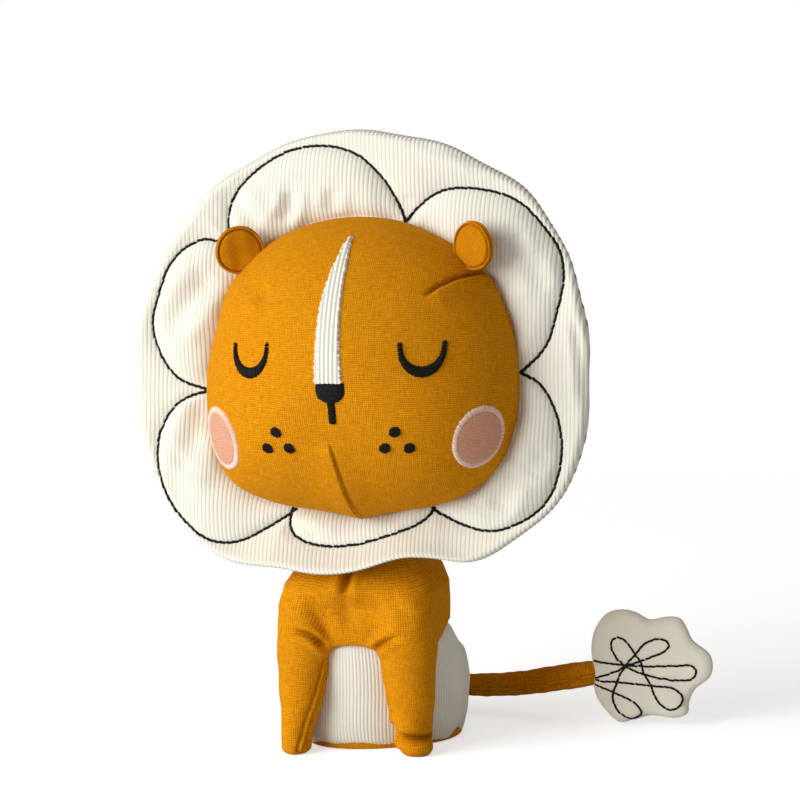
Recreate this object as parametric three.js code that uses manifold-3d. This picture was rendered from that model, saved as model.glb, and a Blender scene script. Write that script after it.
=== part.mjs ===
// Plush lion, sitting, about 18 cm tall. Millimetres, +Z up. It looks along -Y, and +X is its left side.
// The origin is on the ground, under the middle of the body.
import * as THREE from 'three';
import { mergeVertices } from 'three/addons/utils/BufferGeometryUtils.js';
import Module from 'manifold-3d';

const wasm = await Module();
wasm.setup();

// Cloth, fit and thread
const clothThickness = 1.2;
const easeGap = 0.3;
const fillGap = 0.6;
const fillDepth = clothThickness + fillGap;
const blockSize = 160;
const threadWidth = 1;
const threadHeight = 0.8;
const threadGap = 0.75;
const embroideryThickness = 0.9;

// Head: a stuffed ball of two halves that meet at the mane
const headHeight = 109.6;
const headReach = 12;
const headHalfWidth = 44;
const headHalfHeight = 41.5;
const faceDepth = 35;
const napeDepth = 30;
const headLeanAngle = 4;
// The head's outline at even turns from its left side over the top, as shares of its half sizes
const headOutlineShares = [
  1.04, 1.032, 1.038, 1.037, 1.01, 1.01, 1.005, 1, 1, 1.005, 1.01, 0.99,
  1, 1.048, 1.122, 1.172, 1.113, 1.035, 1.01, 1.015, 1.067, 1.118, 1.118, 1.078,
];

// Mane: two layers of corduroy with wadding between them, stitched in scallops
const maneHalfWidth = 65;
const maneHalfHeight = 61.8;
const maneMiddleHeight = 3.7;
const maneHalfThickness = 3.2;
// The mane's outline at the same turns as the head's
const maneOutlineShares = [
  1, 1.005, 1.015, 1.03, 1.005, 1, 1, 0.995, 1, 0.995, 0.99, 1.0,
  1.035, 1.052, 1.105, 1.135, 1.12, 1.03, 0.99, 0.945, 1.045, 1.088, 1.075, 1.038,
];
const maneFlapReach = 12;
const maneFlapPower = 5;
// The six scallops, each from its root on the head seam: turn in degrees and share of the way outwards
const scallopShares = [
  [[74, 0.05], [80, 0.28], [87, 0.56], [94, 0.75], [104, 0.88], [118, 0.89], [129, 0.76], [137, 0.47]],
  [[140, 0.08], [143, 0.55], [148, 0.75], [156, 0.87], [167, 0.85], [175, 0.8], [182, 0.66], [188, 0.43]],
  [[192, 0.08], [195.5, 0.4], [202, 0.69], [209, 0.86], [217, 0.94], [226, 0.95], [233, 0.89], [238.5, 0.72],
    [242.5, 0.42]],
  [[247, 0.06], [248.5, 0.3], [252.5, 0.49], [259, 0.56], [268, 0.55], [277, 0.51], [285, 0.44], [292, 0.26]],
  [[298, 0.05], [303, 0.4], [308.5, 0.7], [315, 0.84], [323, 0.87], [332.5, 0.78], [341, 0.65], [349, 0.47],
    [355, 0.28]],
  [[359.5, 0.05], [366, 0.38], [373.5, 0.6], [382, 0.84], [390, 0.93], [401, 0.89], [411, 0.79], [419, 0.67],
    [425.5, 0.5], [430, 0.28]],
];
const waddingMarginShare = 0.14;
const waddingFillShare = 0.55;

// Face, in the plane of the head seen from the front: sideways and up from the head's middle
const faceSideOffset = 1;
const faceTiltAngle = 2.5;
const eyeSpacing = 24.4;
const eyeLevelHeight = 7.2;
const eyeHalfWidth = 6.1;
const eyeDropHeight = 8.9;
const eyeThickness = 3;
const eyeTipWidth = 1.5;
const blazeHalfWidth = 3.8;
const blazeFootHeight = -2.7;
const blazeLength = 38;
const noseHalfWidth = 3.95;
const noseTopHeight = -3.1;
const noseHeight = 4.8;
const mouthHalfWidth = 1;
const mouthLength = 6;
const whiskerRadius = 1.5;
const whiskerSpacing = 16.8;
const whiskerLevelHeight = -16.4;
const whiskerSpreadWidth = 3.4;
const whiskerDropHeight = 4.9;
const cheekSpacing = 37.2;
const cheekLevelHeight = -19.4;
const cheekRadius = 8.9;
const cheekBorderWidth = 1.8;
const cheekTurnAngle = 56;
const cheekDipAngle = 25;

// Ears: round, two layers each, standing on the seam in front of the mane
const earRadius = 6.9;
const earLeftAngle = 45.3;
const earRightAngle = 43;
const earLeftOverlap = 1.2;
const earRightOverlap = 2.8;
const earFoldAngle = 25;

// Neck: a stuffed ball that the head turns on, with a stem down into the body
const neckHeight = 67;
const neckReach = 1;
const neckRadius = 10.5;
const neckStemRadius = 10;
const neckStemLength = 9;

// Torso: chest and shoulders, from the seam on the haunches up to the neck
const chestHalfWidth = 23.2;
const chestHalfDepth = 19.5;
const torsoFootHeight = 27;
const torsoTopHeight = 60.2;
const torsoFootReach = 1.5;
const chestReach = 3.2;
// Each row: height, half width, half depth and reach of the chest, as shares
const torsoShares = [
  [0, 1, 1, 0],
  [0.26, 1, 0.98, 0.6],
  [0.5, 1, 0.92, 1],
  [0.74, 0.96, 0.75, 0.5],
  [0.9, 0.77, 0.61, 0],
  [1, 0.59, 0.61, 0],
];

// Haunches: the wide corduroy seat of the body
const haunchHalfWidth = 26.2;
const haunchHalfDepth = 27;
const haunchHeight = 42;
const haunchSetBackDistance = 8;
const haunchTopReach = 3.5;
const seamHeight = 34.5;
const seamReach = 5;
const seamSlopeAngle = 13;
const basePanelHeight = 2;
// The lower front is twisted, so that the right paw stands further forward than the left one
const frontTwistAngle = 15.5;
// Each row: height, half width, half depth and lean, as shares
const haunchShares = [
  [0, 0.86, 0.87, 0],
  [0.06, 0.95, 0.955, 0],
  [0.16, 1, 0.99, 0],
  [0.38, 1, 1, 0],
  [0.6, 0.985, 0.95, 0.22],
  [0.8, 0.93, 0.84, 0.6],
  [1, 0.86, 0.64, 1],
];

// Front legs: stuffed tubes that hang from the shoulders and taper to the paws
const legSpacing = 15.1;
const pawSpacing = 16.3;
const legReach = 18.6;
const pawReach = 18.7;
const legRadius = 7.6;
const shoulderHeight = 40;
const legFillOpening = 4;
const legPlayGap = 0.45;
// Each row: height, half width, half depth and reach towards the paw, as shares
const legShares = [
  [0, 0.5, 0.62, 1],
  [0.04, 0.58, 0.76, 1],
  [0.15, 0.66, 0.82, 0.85],
  [0.27, 0.77, 0.85, 0.6],
  [0.4, 0.89, 0.88, 0.4],
  [0.58, 0.99, 0.94, 0.2],
  [0.75, 1.06, 0.98, 0.1],
  [1, 1, 1, 0],
];

// Tail: a stuffed tube from the back seam, lying to the lion's left, and its tuft
const tailHeight = 8.5;
const tailRootRadius = 2.8;
const tailRootGap = 0.3;
const tailReach = 55.6;
const tailRiseHeight = 5.9;
const tailEndDistance = 34.5;
const tailRadius = 3.8;
const tailSwellDistance = 1.4;
// Each row: way along, share of the rise and radius, as shares
const tailShares = [
  [0, 0, 0.66],
  [0.16, -0.1, 0.76],
  [0.36, -0.11, 0.88],
  [0.6, 0.14, 0.93],
  [0.82, 0.6, 0.97],
  [1, 1, 0.94],
];
const tuftGap = 0.5;
const tuftHalfWidth = 18;
const tuftHalfHeight = 16.6;
const tuftGroundGap = 0.5;
const tuftHalfThickness = 3;
const tuftWaddingShare = 0.8;
// Points round the tuft's outline, sideways and up, as shares of its half sizes
const tuftOutlineShares = [
  [1, 0.1], [0.93, 0.31], [0.68, 0.52], [0.58, 0.72], [0.46, 0.9], [0.25, 0.92], [-0.04, 0.86], [-0.27, 0.97],
  [-0.52, 1], [-0.77, 0.9], [-0.94, 0.62], [-1, 0.26], [-0.95, -0.15], [-0.93, -0.5], [-0.8, -0.76],
  [-0.54, -1], [-0.3, -0.96], [0.02, -0.86], [0.4, -0.87], [0.6, -0.78], [0.62, -0.58], [0.72, -0.34],
  [0.95, -0.12],
];
// The strands of the five stitched loops, in the same shares: each runs on from the one before
const tuftStrandShares = [
  [[-0.89, 0.07], [-0.43, 0.05], [0, 0.06], [0.49, 0.1], [0.66, 0.11], [0.75, 0.03]],
  [[0.75, 0.03], [0.72, -0.1], [0.58, -0.16], [0.17, -0.14], [-0.13, -0.08], [-0.43, 0.04]],
  [[-0.89, -0.23], [-0.66, -0.13], [-0.43, 0.02], [-0.23, 0.26], [-0.1, 0.44], [0.08, 0.54], [0.24, 0.54],
    [0.31, 0.45]],
  [[0.31, 0.45], [0.25, 0.35], [0.12, 0.27], [-0.13, 0.15], [-0.36, 0.05], [-0.46, -0.07], [-0.53, -0.25],
    [-0.59, -0.41], [-0.61, -0.58], [-0.54, -0.76], [-0.4, -0.88], [-0.27, -0.91]],
  [[-0.27, -0.91], [-0.14, -0.82], [-0.16, -0.72], [-0.27, -0.6], [-0.45, -0.51], [-0.66, -0.43],
    [-0.89, -0.34]],
  [[-0.43, 0.04], [-0.54, 0.16], [-0.63, 0.31], [-0.63, 0.47], [-0.54, 0.53], [-0.42, 0.49], [-0.31, 0.36],
    [-0.14, 0.1], [-0.09, -0.07], [0.01, -0.25], [0.06, -0.41], [0.15, -0.58], [0.26, -0.68], [0.38, -0.7]],
  [[0.38, -0.7], [0.49, -0.63], [0.54, -0.5], [0.47, -0.37], [0.31, -0.3], [0.03, -0.29], [-0.43, -0.27],
    [-0.89, -0.27]],
];

// How finely the round shapes are cut
const headAround = 30;
const headRings = 14;
const maneAround = 48;
const maneSteps = 3;
const bodyAround = 24;
const bodySteps = 8;
const fillAround = 18;
const limbAround = 12;
const limbSteps = 7;
const ballAround = 18;
const smallAround = 12;
const smallSteps = 7;
const earAround = 16;
const tailSteps = 10;
const tuftAround = 46;
const stitchAround = 6;
const loopAround = 3;
const leafRings = 2;

// Colours and finishes
const mustardCloth = { color: 0xd0921f, roughness: 0.95, metalness: 0 };
const creamCord = { color: 0xe8e3cf, roughness: 0.97, metalness: 0 };
const offWhiteFelt = { color: 0xcfc8b2, roughness: 0.98, metalness: 0 };
const blackThread = { color: 0x1f1c17, roughness: 0.6, metalness: 0 };
const pinkWeave = { color: 0xc08468, roughness: 0.9, metalness: 0 };
const pinkThread = { color: 0xe0a588, roughness: 0.6, metalness: 0 };
const fibreFill = { color: 0xf2f2ee, roughness: 1, metalness: 0 };

const halfTurn = 180;
const degree = Math.PI / halfTurn;
// How far a curve's middle follows its two equal control points
const curvePullShare = 0.75;

// Solids from meshes
function solidFrom(points, faces) {
  const vertProperties = new Float32Array(points.flat());
  const corner = (index) => new THREE.Vector3().fromArray(vertProperties, index * 3);
  let volume = 0;
  for (const [a, b, c] of faces) volume += corner(a).dot(corner(b).cross(corner(c)));
  const outward = volume > 0 ? faces : faces.map(([a, b, c]) => [a, c, b]);
  const triVerts = new Uint32Array(outward.flat());
  return new wasm.Manifold(new wasm.Mesh({ numProp: 3, vertProperties, triVerts }));
}

function solidOf(geometry) {
  const bare = geometry.clone();
  bare.deleteAttribute('normal');
  bare.deleteAttribute('uv');
  const merged = mergeVertices(bare);
  const at = merged.attributes.position;
  const points = Array.from({ length: at.count }, (_, i) => [at.getX(i), at.getY(i), at.getZ(i)]);
  const order = merged.index.array;
  const faces = Array.from({ length: order.length / 3 }, (_, i) => [...order.slice(3 * i, 3 * i + 3)]);
  return solidFrom(points, faces);
}

// A skin over loops of equal length: a band between neighbours, and a fan over each end unless it wraps
function skin(loops, wrap = false) {
  const size = loops[0].length;
  const points = loops.flat();
  const faces = [];
  const bands = wrap ? loops.length : loops.length - 1;
  for (let j = 0; j < bands; j += 1) {
    const here = j * size;
    const next = ((j + 1) % loops.length) * size;
    for (let i = 0; i < size; i += 1) {
      const k = (i + 1) % size;
      faces.push([here + i, here + k, next + k], [here + i, next + k, next + i]);
    }
  }
  if (!wrap) {
    for (const [loop, start, turn] of [[loops[0], 0, 1], [loops.at(-1), points.length - size, -1]]) {
      const middle = [0, 1, 2].map((axis) => loop.reduce((sum, point) => sum + point[axis], 0) / size);
      const hub = points.push(middle) - 1;
      for (let i = 0; i < size; i += 1) {
        const edge = [start + i, start + (i + 1) % size];
        faces.push(turn > 0 ? [hub, edge[1], edge[0]] : [hub, edge[0], edge[1]]);
      }
    }
  }
  return solidFrom(points, faces);
}

const turns = (count) => Array.from({ length: count }, (_, i) => (i / count) * 2 * Math.PI);
const steps = (count) => Array.from({ length: count + 1 }, (_, i) => i / count);

// A stack of ellipses: each level is [height, sideways, depth, half width, half depth, twist of its front]
function loft(levels, grow, around, count) {
  const heights = new THREE.SplineCurve(levels.map(([z, x]) => new THREE.Vector2(z, x)));
  const depths = new THREE.SplineCurve(levels.map(([z, , y]) => new THREE.Vector2(z, y)));
  const widths = new THREE.SplineCurve(levels.map(([, , , w, d]) => new THREE.Vector2(w, d)));
  const twists = new THREE.SplineCurve(levels.map(([z, , , , , twist = 0]) => new THREE.Vector2(z, twist)));
  const loops = steps(count).map((t) => {
    const { x: z, y: x } = heights.getPoint(t);
    const { y } = depths.getPoint(t);
    const { x: w, y: d } = widths.getPoint(t);
    const { y: twist } = twists.getPoint(t);
    return turns(around).map((a) => {
      const sideways = (w + grow) * Math.cos(a);
      const backwards = twist * sideways * Math.max(0, -Math.sin(a));
      return [x + sideways, y + backwards + (d + grow) * Math.sin(a), z];
    });
  });
  return skin(loops);
}

// A round bar along a curve, with a radius at each share of its length
function limb(curve, radiusAt, around, count, wrap = false) {
  const frames = curve.computeFrenetFrames(count, wrap);
  const ways = steps(count).slice(0, wrap ? count : count + 1);
  const loops = ways.map((t, j) => {
    const centre = curve.getPointAt(t);
    return turns(around).map((a) => {
      const out = frames.normals[j].clone().multiplyScalar(Math.cos(a));
      out.addScaledVector(frames.binormals[j], Math.sin(a));
      return centre.clone().addScaledVector(out, radiusAt(t)).toArray();
    });
  });
  return skin(loops, wrap);
}

// A thin body over an outline in the XZ plane: front and back stand at a depth for each share outwards
function leaf(outlineAt, frontAt, backAt, around, rings) {
  const shares = steps(rings).slice(1);
  const loop = (share, depth) => turns(around).map((a) => {
    const [x, z] = outlineAt(a);
    return [x * share, depth, z * share];
  });
  const front = shares.map((share) => loop(share, frontAt(share)));
  const back = shares.map((share) => loop(share, backAt(share))).reverse();
  return skin([...front, ...back]);
}

function ballOf(radius, centre, around = ballAround) {
  const ball = new THREE.SphereGeometry(radius, around, Math.round(around / 2));
  return solidOf(ball.rotateX(Math.PI / 2).translate(...centre));
}

// A block wider than any piece
const wideBlock = () => new THREE.BoxGeometry(blockSize, blockSize, blockSize);

// The block set to fill everything above or below a height, on a slope
function above(height, slope = 0, reach = 0, side = 1) {
  const block = wideBlock().translate(0, 0, side * blockSize / 2);
  block.rotateX(slope * degree);
  return solidOf(block.translate(0, -reach, height));
}

const below = (height, slope = 0, reach = 0) => above(height, slope, reach, -1);

const lion = new THREE.Group();

function piece(parent, name, body, finish) {
  const { vertProperties, triVerts } = body.getMesh();
  const geometry = new THREE.BufferGeometry();
  geometry.setAttribute('position', new THREE.BufferAttribute(new Float32Array(vertProperties), 3));
  geometry.setIndex(new THREE.BufferAttribute(new Uint32Array(triVerts), 1));
  geometry.computeVertexNormals();
  const mesh = new THREE.Mesh(geometry, new THREE.MeshStandardMaterial(finish));
  mesh.name = name;
  parent.add(mesh);
}

// Frames of the head and the neck
const head = new THREE.Group();
head.position.set(0, -headReach, headHeight);
head.rotation.x = -headLeanAngle * degree;
lion.add(head);
const neckPivot = new THREE.Vector3(0, -neckReach, neckHeight);
const uprightTurn = new THREE.Euler(headLeanAngle * degree, 0, 0);
const neckInHead = neckPivot.clone().sub(head.position).applyEuler(uprightTurn);

// A smooth run through shares at even turns; gives the share at any angle
function sharesRound(shares) {
  const points = shares.map((share) => new THREE.Vector3(share, 0, 0));
  const run = new THREE.CatmullRomCurve3(points, true, 'catmullrom');
  return (angle) => run.getPoint((angle / (2 * Math.PI) + 1) % 1).x;
}

const headSwell = sharesRound(headOutlineShares);

function headBall(grow) {
  const ball = new THREE.SphereGeometry(1, headAround, headRings);
  const at = ball.attributes.position;
  for (let i = 0; i < at.count; i += 1) {
    const [x, y, z] = [at.getX(i), at.getY(i), at.getZ(i)];
    const swell = headSwell(Math.atan2(z, x));
    const depth = y < 0 ? faceDepth : napeDepth;
    const [wide, tall] = [headHalfWidth + grow, headHalfHeight + grow].map((half) => half * swell);
    at.setXYZ(i, x * wide, y * (depth + grow), z * tall);
  }
  return solidOf(ball);
}

const halfSpace = (side, gap) => {
  return solidOf(wideBlock().translate(0, side * (blockSize / 2 + gap), 0));
};

// Face, nape and stuffing of the head, open below where the neck goes in
const headSkin = headBall(0);
const headHollow = headBall(-clothThickness);
const neckHole = ballOf(neckRadius + easeGap, neckInHead.toArray());
const headShell = headSkin.subtract(headHollow).subtract(neckHole);

// A shape seen from the front, drawn through the face as a block
function frontBlock(shape) {
  const cut = { depth: blockSize / 2, bevelEnabled: false, curveSegments: smallSteps };
  return new THREE.ExtrudeGeometry(shape, cut).rotateX(Math.PI / 2);
}

// The blaze is a wedge of corduroy let into the forehead
const blazeShape = (grow) => {
  const shape = new THREE.Shape();
  const half = blazeHalfWidth + grow;
  const foot = blazeFootHeight - grow;
  const tip = blazeFootHeight + blazeLength + grow;
  shape.moveTo(-half, foot);
  shape.lineTo(half, foot);
  shape.quadraticCurveTo(half, (foot + tip) / 2, 0, tip);
  shape.quadraticCurveTo(-half, (foot + tip) / 2, -half, foot);
  return shape;
};
const blazeBlock = (grow) => solidOf(frontBlock(blazeShape(grow)).translate(faceSideOffset, 0, 0));

const faceHalf = halfSpace(-1, easeGap / 2);
const napeHalf = halfSpace(1, easeGap / 2);
piece(head, 'face_panel', headShell.intersect(faceHalf).subtract(blazeBlock(easeGap)), mustardCloth);
piece(head, 'back_head_panel', headShell.intersect(napeHalf), mustardCloth);
const headFill = headBall(-clothThickness - fillGap);
piece(head, 'head_stuffing', headFill.subtract(neckHole), fibreFill);
piece(head, 'blaze', headSkin.subtract(headHollow).intersect(blazeBlock(0)), creamCord);

// Embroidery: the layer just above the face cloth, cut to its outline
const inFrontOfMane = halfSpace(-1, maneHalfThickness + easeGap);
const embroiderySkin = headBall(easeGap + embroideryThickness).subtract(headBall(easeGap));
const embroideryLayer = embroiderySkin.intersect(inFrontOfMane);

function embroider(name, block, finish) {
  piece(head, name, embroideryLayer.intersect(block), finish);
}

// How far the face stands out at a place on it
function faceReachAt(x, z) {
  const [wide, tall] = [x / headHalfWidth, z / headHalfHeight];
  const out = Math.hypot(wide, tall) / headSwell(Math.atan2(tall, wide));
  return faceDepth * Math.sqrt(Math.max(0, 1 - out ** 2));
}

function facePlace(x, z) {
  const [c, s] = [Math.cos(faceTiltAngle * degree), Math.sin(faceTiltAngle * degree)];
  return [faceSideOffset + x * c - z * s, x * s + z * c];
}

function frontAt(shape, x, z) {
  const [side, up] = facePlace(x, z);
  return solidOf(frontBlock(shape).translate(side, 0, up));
}

function eyeShape() {
  const shape = new THREE.Shape();
  const inner = eyeHalfWidth - eyeTipWidth;
  const lip = eyeDropHeight / curvePullShare;
  const innerLip = (eyeDropHeight - eyeThickness) / curvePullShare;
  shape.moveTo(-eyeHalfWidth, 0);
  shape.bezierCurveTo(-eyeHalfWidth, -lip, eyeHalfWidth, -lip, eyeHalfWidth, 0);
  shape.absarc(eyeHalfWidth - eyeTipWidth / 2, 0, eyeTipWidth / 2, 0, Math.PI, false);
  shape.bezierCurveTo(inner, -innerLip, -inner, -innerLip, -inner, 0);
  shape.absarc(-eyeHalfWidth + eyeTipWidth / 2, 0, eyeTipWidth / 2, 0, Math.PI, false);
  return shape;
}

function noseShape() {
  const shape = new THREE.Shape();
  shape.moveTo(-noseHalfWidth, 0);
  shape.bezierCurveTo(-noseHalfWidth, -noseHeight, -mouthHalfWidth, -noseHeight, 0, -noseHeight);
  shape.bezierCurveTo(mouthHalfWidth, -noseHeight, noseHalfWidth, -noseHeight, noseHalfWidth, 0);
  shape.lineTo(-noseHalfWidth, 0);
  return shape;
}

function discShape(radius) {
  const shape = new THREE.Shape();
  shape.absarc(0, 0, radius, 0, 2 * Math.PI, false);
  return shape;
}

embroider('nose', frontAt(noseShape(), 0, noseTopHeight), blackThread);
const mouthShape = new THREE.Shape();
mouthShape.moveTo(-mouthHalfWidth, 0);
mouthShape.lineTo(-mouthHalfWidth, -mouthLength);
mouthShape.lineTo(mouthHalfWidth, -mouthLength);
mouthShape.lineTo(mouthHalfWidth, 0);
embroider('mouth_stitch', frontAt(mouthShape, 0, noseTopHeight - noseHeight - easeGap), blackThread);

const sides = [['left', 1], ['right', -1]];
for (const [side, sign] of sides) {
  embroider(`eye_${side}`, frontAt(eyeShape(), sign * eyeSpacing, eyeLevelHeight), blackThread);
  const dots = [
    ['upper', whiskerSpacing, whiskerLevelHeight],
    ['outer', whiskerSpacing + whiskerSpreadWidth, whiskerLevelHeight - whiskerDropHeight],
    ['inner', whiskerSpacing - whiskerSpreadWidth, whiskerLevelHeight - whiskerDropHeight],
  ];
  for (const [place, x, z] of dots) {
    embroider(`whisker_dot_${side}_${place}`, frontAt(discShape(whiskerRadius), sign * x, z), blackThread);
  }
  // A cheek is a woven disc inside a satin-stitched ring, both looking out along the face there
  const [x, z] = facePlace(sign * cheekSpacing, cheekLevelHeight);
  const cheekBlock = (radius) => {
    const block = frontBlock(discShape(radius)).translate(0, cheekRadius, 0);
    block.rotateX(cheekDipAngle * degree);
    block.rotateZ(sign * cheekTurnAngle * degree);
    return solidOf(block.translate(x, -faceReachAt(x, z), z));
  };
  const patch = cheekBlock(cheekRadius - cheekBorderWidth - easeGap);
  const rim = cheekBlock(cheekRadius).subtract(cheekBlock(cheekRadius - cheekBorderWidth));
  embroider(`cheek_patch_${side}`, patch, pinkWeave);
  embroider(`cheek_border_${side}`, rim, pinkThread);
}

// Mane: rings between the head seam and the outline, with the lower edge bent forwards over the chest
const maneSwell = sharesRound(maneOutlineShares);

function maneEdges(angle) {
  const [inside, outside] = [headSwell(angle), maneSwell(angle)];
  const [c, s] = [Math.cos(angle), Math.sin(angle)];
  return {
    inner: [(headHalfWidth + easeGap) * inside * c, (headHalfHeight + easeGap) * inside * s],
    outer: [maneHalfWidth * outside * c, maneMiddleHeight + maneHalfHeight * outside * s],
  };
}

const maneFlap = (angle, u) => maneFlapReach * Math.max(0, -Math.sin(angle)) ** maneFlapPower * u ** 2;
const maneEdgeHalf = clothThickness + easeGap / 2;
const manePuffAt = (u) => Math.sin(Math.PI * Math.min(1, Math.max(0, u)));
const maneHalfAt = (u) => maneEdgeHalf + (maneHalfThickness - maneEdgeHalf) * manePuffAt(u);
const maneInsideAt = (u) => maneHalfAt(u) - clothThickness;

function manePoint(angle, u, depth) {
  const { inner, outer } = maneEdges(angle);
  const [x, z] = [0, 1].map((axis) => inner[axis] + (outer[axis] - inner[axis]) * u);
  return [x, depth - maneFlap(angle, u), z];
}

function maneRing(shares, frontDepth, backDepth, angles) {
  return skin(angles.map((angle) => {
    const front = shares.map((u) => manePoint(angle, u, frontDepth(u)));
    const back = shares.map((u) => manePoint(angle, u, backDepth(u))).reverse();
    return [...front, ...back];
  }), true);
}

const maneShares = steps(maneSteps);
const maneAngles = turns(maneAround);
const maneFront = maneRing(maneShares, (u) => -maneHalfAt(u), (u) => -maneInsideAt(u), maneAngles);
const maneBack = maneRing(maneShares, maneInsideAt, maneHalfAt, maneAngles);
const waddingShares = steps(maneSteps).map((t) => waddingMarginShare + (1 - 2 * waddingMarginShare) * t);
const waddingHalf = (u) => waddingFillShare * (maneInsideAt(u) - easeGap);
const maneWadding = maneRing(waddingShares, (u) => -waddingHalf(u), waddingHalf, maneAngles);
piece(head, 'mane_front', maneFront, creamCord);
piece(head, 'mane_back', maneBack, creamCord);
piece(head, 'mane_wadding', maneWadding, fibreFill);

// The scalloped line of stitches runs out from the head seam and back to it six times
const scallopLine = scallopShares.flat().map(([turn, u]) => [turn * degree, u]);

function scallopStitch(side) {
  return skin(scallopLine.map(([angle, u]) => {
    const { inner, outer } = maneEdges(angle);
    const half = threadWidth / 2 / Math.hypot(outer[0] - inner[0], outer[1] - inner[1]);
    const lie = maneHalfAt(u) + threadGap;
    const top = lie + threadHeight;
    const corners = [[u - half, lie], [u + half, lie], [u + half, top], [u - half, top]];
    return corners.map(([share, depth]) => manePoint(angle, share, side * depth));
  }), true);
}

piece(head, 'mane_scallop_stitch_front', scallopStitch(-1), blackThread);
piece(head, 'mane_scallop_stitch_back', scallopStitch(1), blackThread);

// Ears: each stands in its own frame, folded forwards, with its hinge on the head seam
const earBackDepth = -maneHalfThickness - threadGap - threadHeight - easeGap;
const earPlaces = [
  ['left', 1, earLeftAngle * degree, earLeftOverlap],
  ['right', -1, earRightAngle * degree, earRightOverlap],
];
for (const [side, sign, angle, overlap] of earPlaces) {
  const earLift = earRadius - overlap;
  const ear = new THREE.Group();
  const seam = [headHalfWidth * Math.cos(angle), headHalfHeight * Math.sin(angle)];
  const foot = Math.hypot(...seam) * headSwell(sign > 0 ? angle : Math.PI - angle);
  const lean = sign * (Math.PI / 2 - angle);
  ear.position.set(foot * Math.sin(lean), earBackDepth, foot * Math.cos(lean));
  ear.rotation.set(earFoldAngle * degree, lean, 0, 'YXZ');
  head.add(ear);
  const outline = (a) => [earRadius * Math.cos(a), earRadius * Math.sin(a)];
  const round = (front, back) => leaf(outline, () => front, () => back, earAround, 1);
  const place = (body) => {
    const { vertProperties, triVerts } = body.getMesh();
    const points = Array.from({ length: vertProperties.length / 3 }, (_, i) => [
      vertProperties[3 * i],
      vertProperties[3 * i + 1],
      vertProperties[3 * i + 2] + earLift,
    ]);
    const faceCount = triVerts.length / 3;
    const faces = Array.from({ length: faceCount }, (_, i) => [...triVerts.slice(3 * i, 3 * i + 3)]);
    return solidFrom(points, faces).intersect(above(easeGap));
  };
  piece(ear, `ear_${side}_back`, place(round(-clothThickness, 0)), mustardCloth);
  const frontFoot = -clothThickness - easeGap;
  piece(ear, `ear_${side}_front`, place(round(frontFoot - clothThickness, frontFoot)), mustardCloth);
}

// Neck: cover and filling, with the ring of stitches that joins it to the head
const neckBall = (grow) => ballOf(neckRadius + grow, neckPivot.toArray());
const stemFoot = neckHeight - neckStemLength;
const neckStem = (grow, foot) => {
  const radius = neckStemRadius + grow;
  const stem = new THREE.CylinderGeometry(radius, radius, neckHeight - foot, ballAround);
  return solidOf(stem.rotateX(Math.PI / 2).translate(0, -neckReach, (neckHeight + foot) / 2));
};
const neckSkin = neckBall(0).add(neckStem(0, stemFoot)).intersect(above(stemFoot));
const neckHollow = neckBall(-clothThickness).add(neckStem(-clothThickness, stemFoot - clothThickness));
const neckCore = neckBall(-fillDepth).add(neckStem(-fillDepth, stemFoot));
const neckFill = neckCore.intersect(above(stemFoot));
piece(lion, 'neck_cover', neckSkin.subtract(neckHollow), mustardCloth);
piece(lion, 'neck_stuffing', neckFill, fibreFill);
const stitchRing = (radius, thick) => {
  const rim = (a) => new THREE.Vector2(radius + thick * Math.cos(a), thick * Math.sin(a));
  const profile = turns(stitchAround).map(rim);
  return new THREE.LatheGeometry([...profile, profile[0].clone()], ballAround);
};
const ringRadius = neckRadius + easeGap + threadHeight / 2;
const neckRing = stitchRing(ringRadius, threadHeight / 2).rotateX(Math.PI / 2);
piece(lion, 'neck_stitch', solidOf(neckRing.translate(...neckPivot.toArray())), mustardCloth);

// Torso and haunches
const frontTwist = Math.tan(frontTwistAngle * degree);
const torsoLevels = torsoShares.map(([rise, width, depth, reach]) => [
  torsoFootHeight + (torsoTopHeight - torsoFootHeight) * rise,
  0,
  -torsoFootReach - (neckReach - torsoFootReach) * rise - chestReach * reach,
  chestHalfWidth * width,
  chestHalfDepth * depth,
]);
const haunchLevels = haunchShares.map(([rise, width, depth, lean]) => [
  haunchHeight * rise,
  0,
  haunchSetBackDistance - (haunchSetBackDistance + haunchTopReach) * lean,
  haunchHalfWidth * width,
  haunchHalfDepth * depth,
  frontTwist * (1 - rise),
]);
const torsoBody = (grow, around = bodyAround) => loft(torsoLevels, grow, around, bodySteps);
const haunchBody = (grow, around = bodyAround) => loft(haunchLevels, grow, around, bodySteps);

const legLevels = (sign) => legShares.map(([rise, width, depth, reach]) => [
  shoulderHeight * rise,
  sign * (legSpacing + (pawSpacing - legSpacing) * reach),
  -legReach - (pawReach - sign * pawSpacing * frontTwist - legReach) * reach,
  legRadius * width,
  legRadius * depth,
]);
const legBody = (sign, grow) => {
  const stem = loft(legLevels(sign), grow, limbAround, limbSteps);
  return stem.add(ballOf(legRadius + grow, [sign * legSpacing, -legReach, shoulderHeight], limbAround));
};
const legRoom = (gap) => legBody(1, gap).add(legBody(-1, gap));

const seamAbove = (gap) => above(seamHeight + gap, seamSlopeAngle, seamReach);
const seamBelow = (gap) => below(seamHeight - gap, seamSlopeAngle, seamReach);
const stemHole = neckStem(easeGap, stemFoot - easeGap);
const torsoRoof = torsoTopHeight - clothThickness;
const topOpening = neckStem(easeGap, torsoFootHeight).intersect(above(torsoRoof));

const torsoHollow = torsoBody(-clothThickness).intersect(below(torsoRoof));
const torsoShell = torsoBody(0).subtract(torsoHollow).subtract(topOpening);
const torsoCover = torsoShell.intersect(seamAbove(easeGap / 2)).subtract(legRoom(legPlayGap));
piece(lion, 'torso_cover', torsoCover, mustardCloth);

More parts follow.
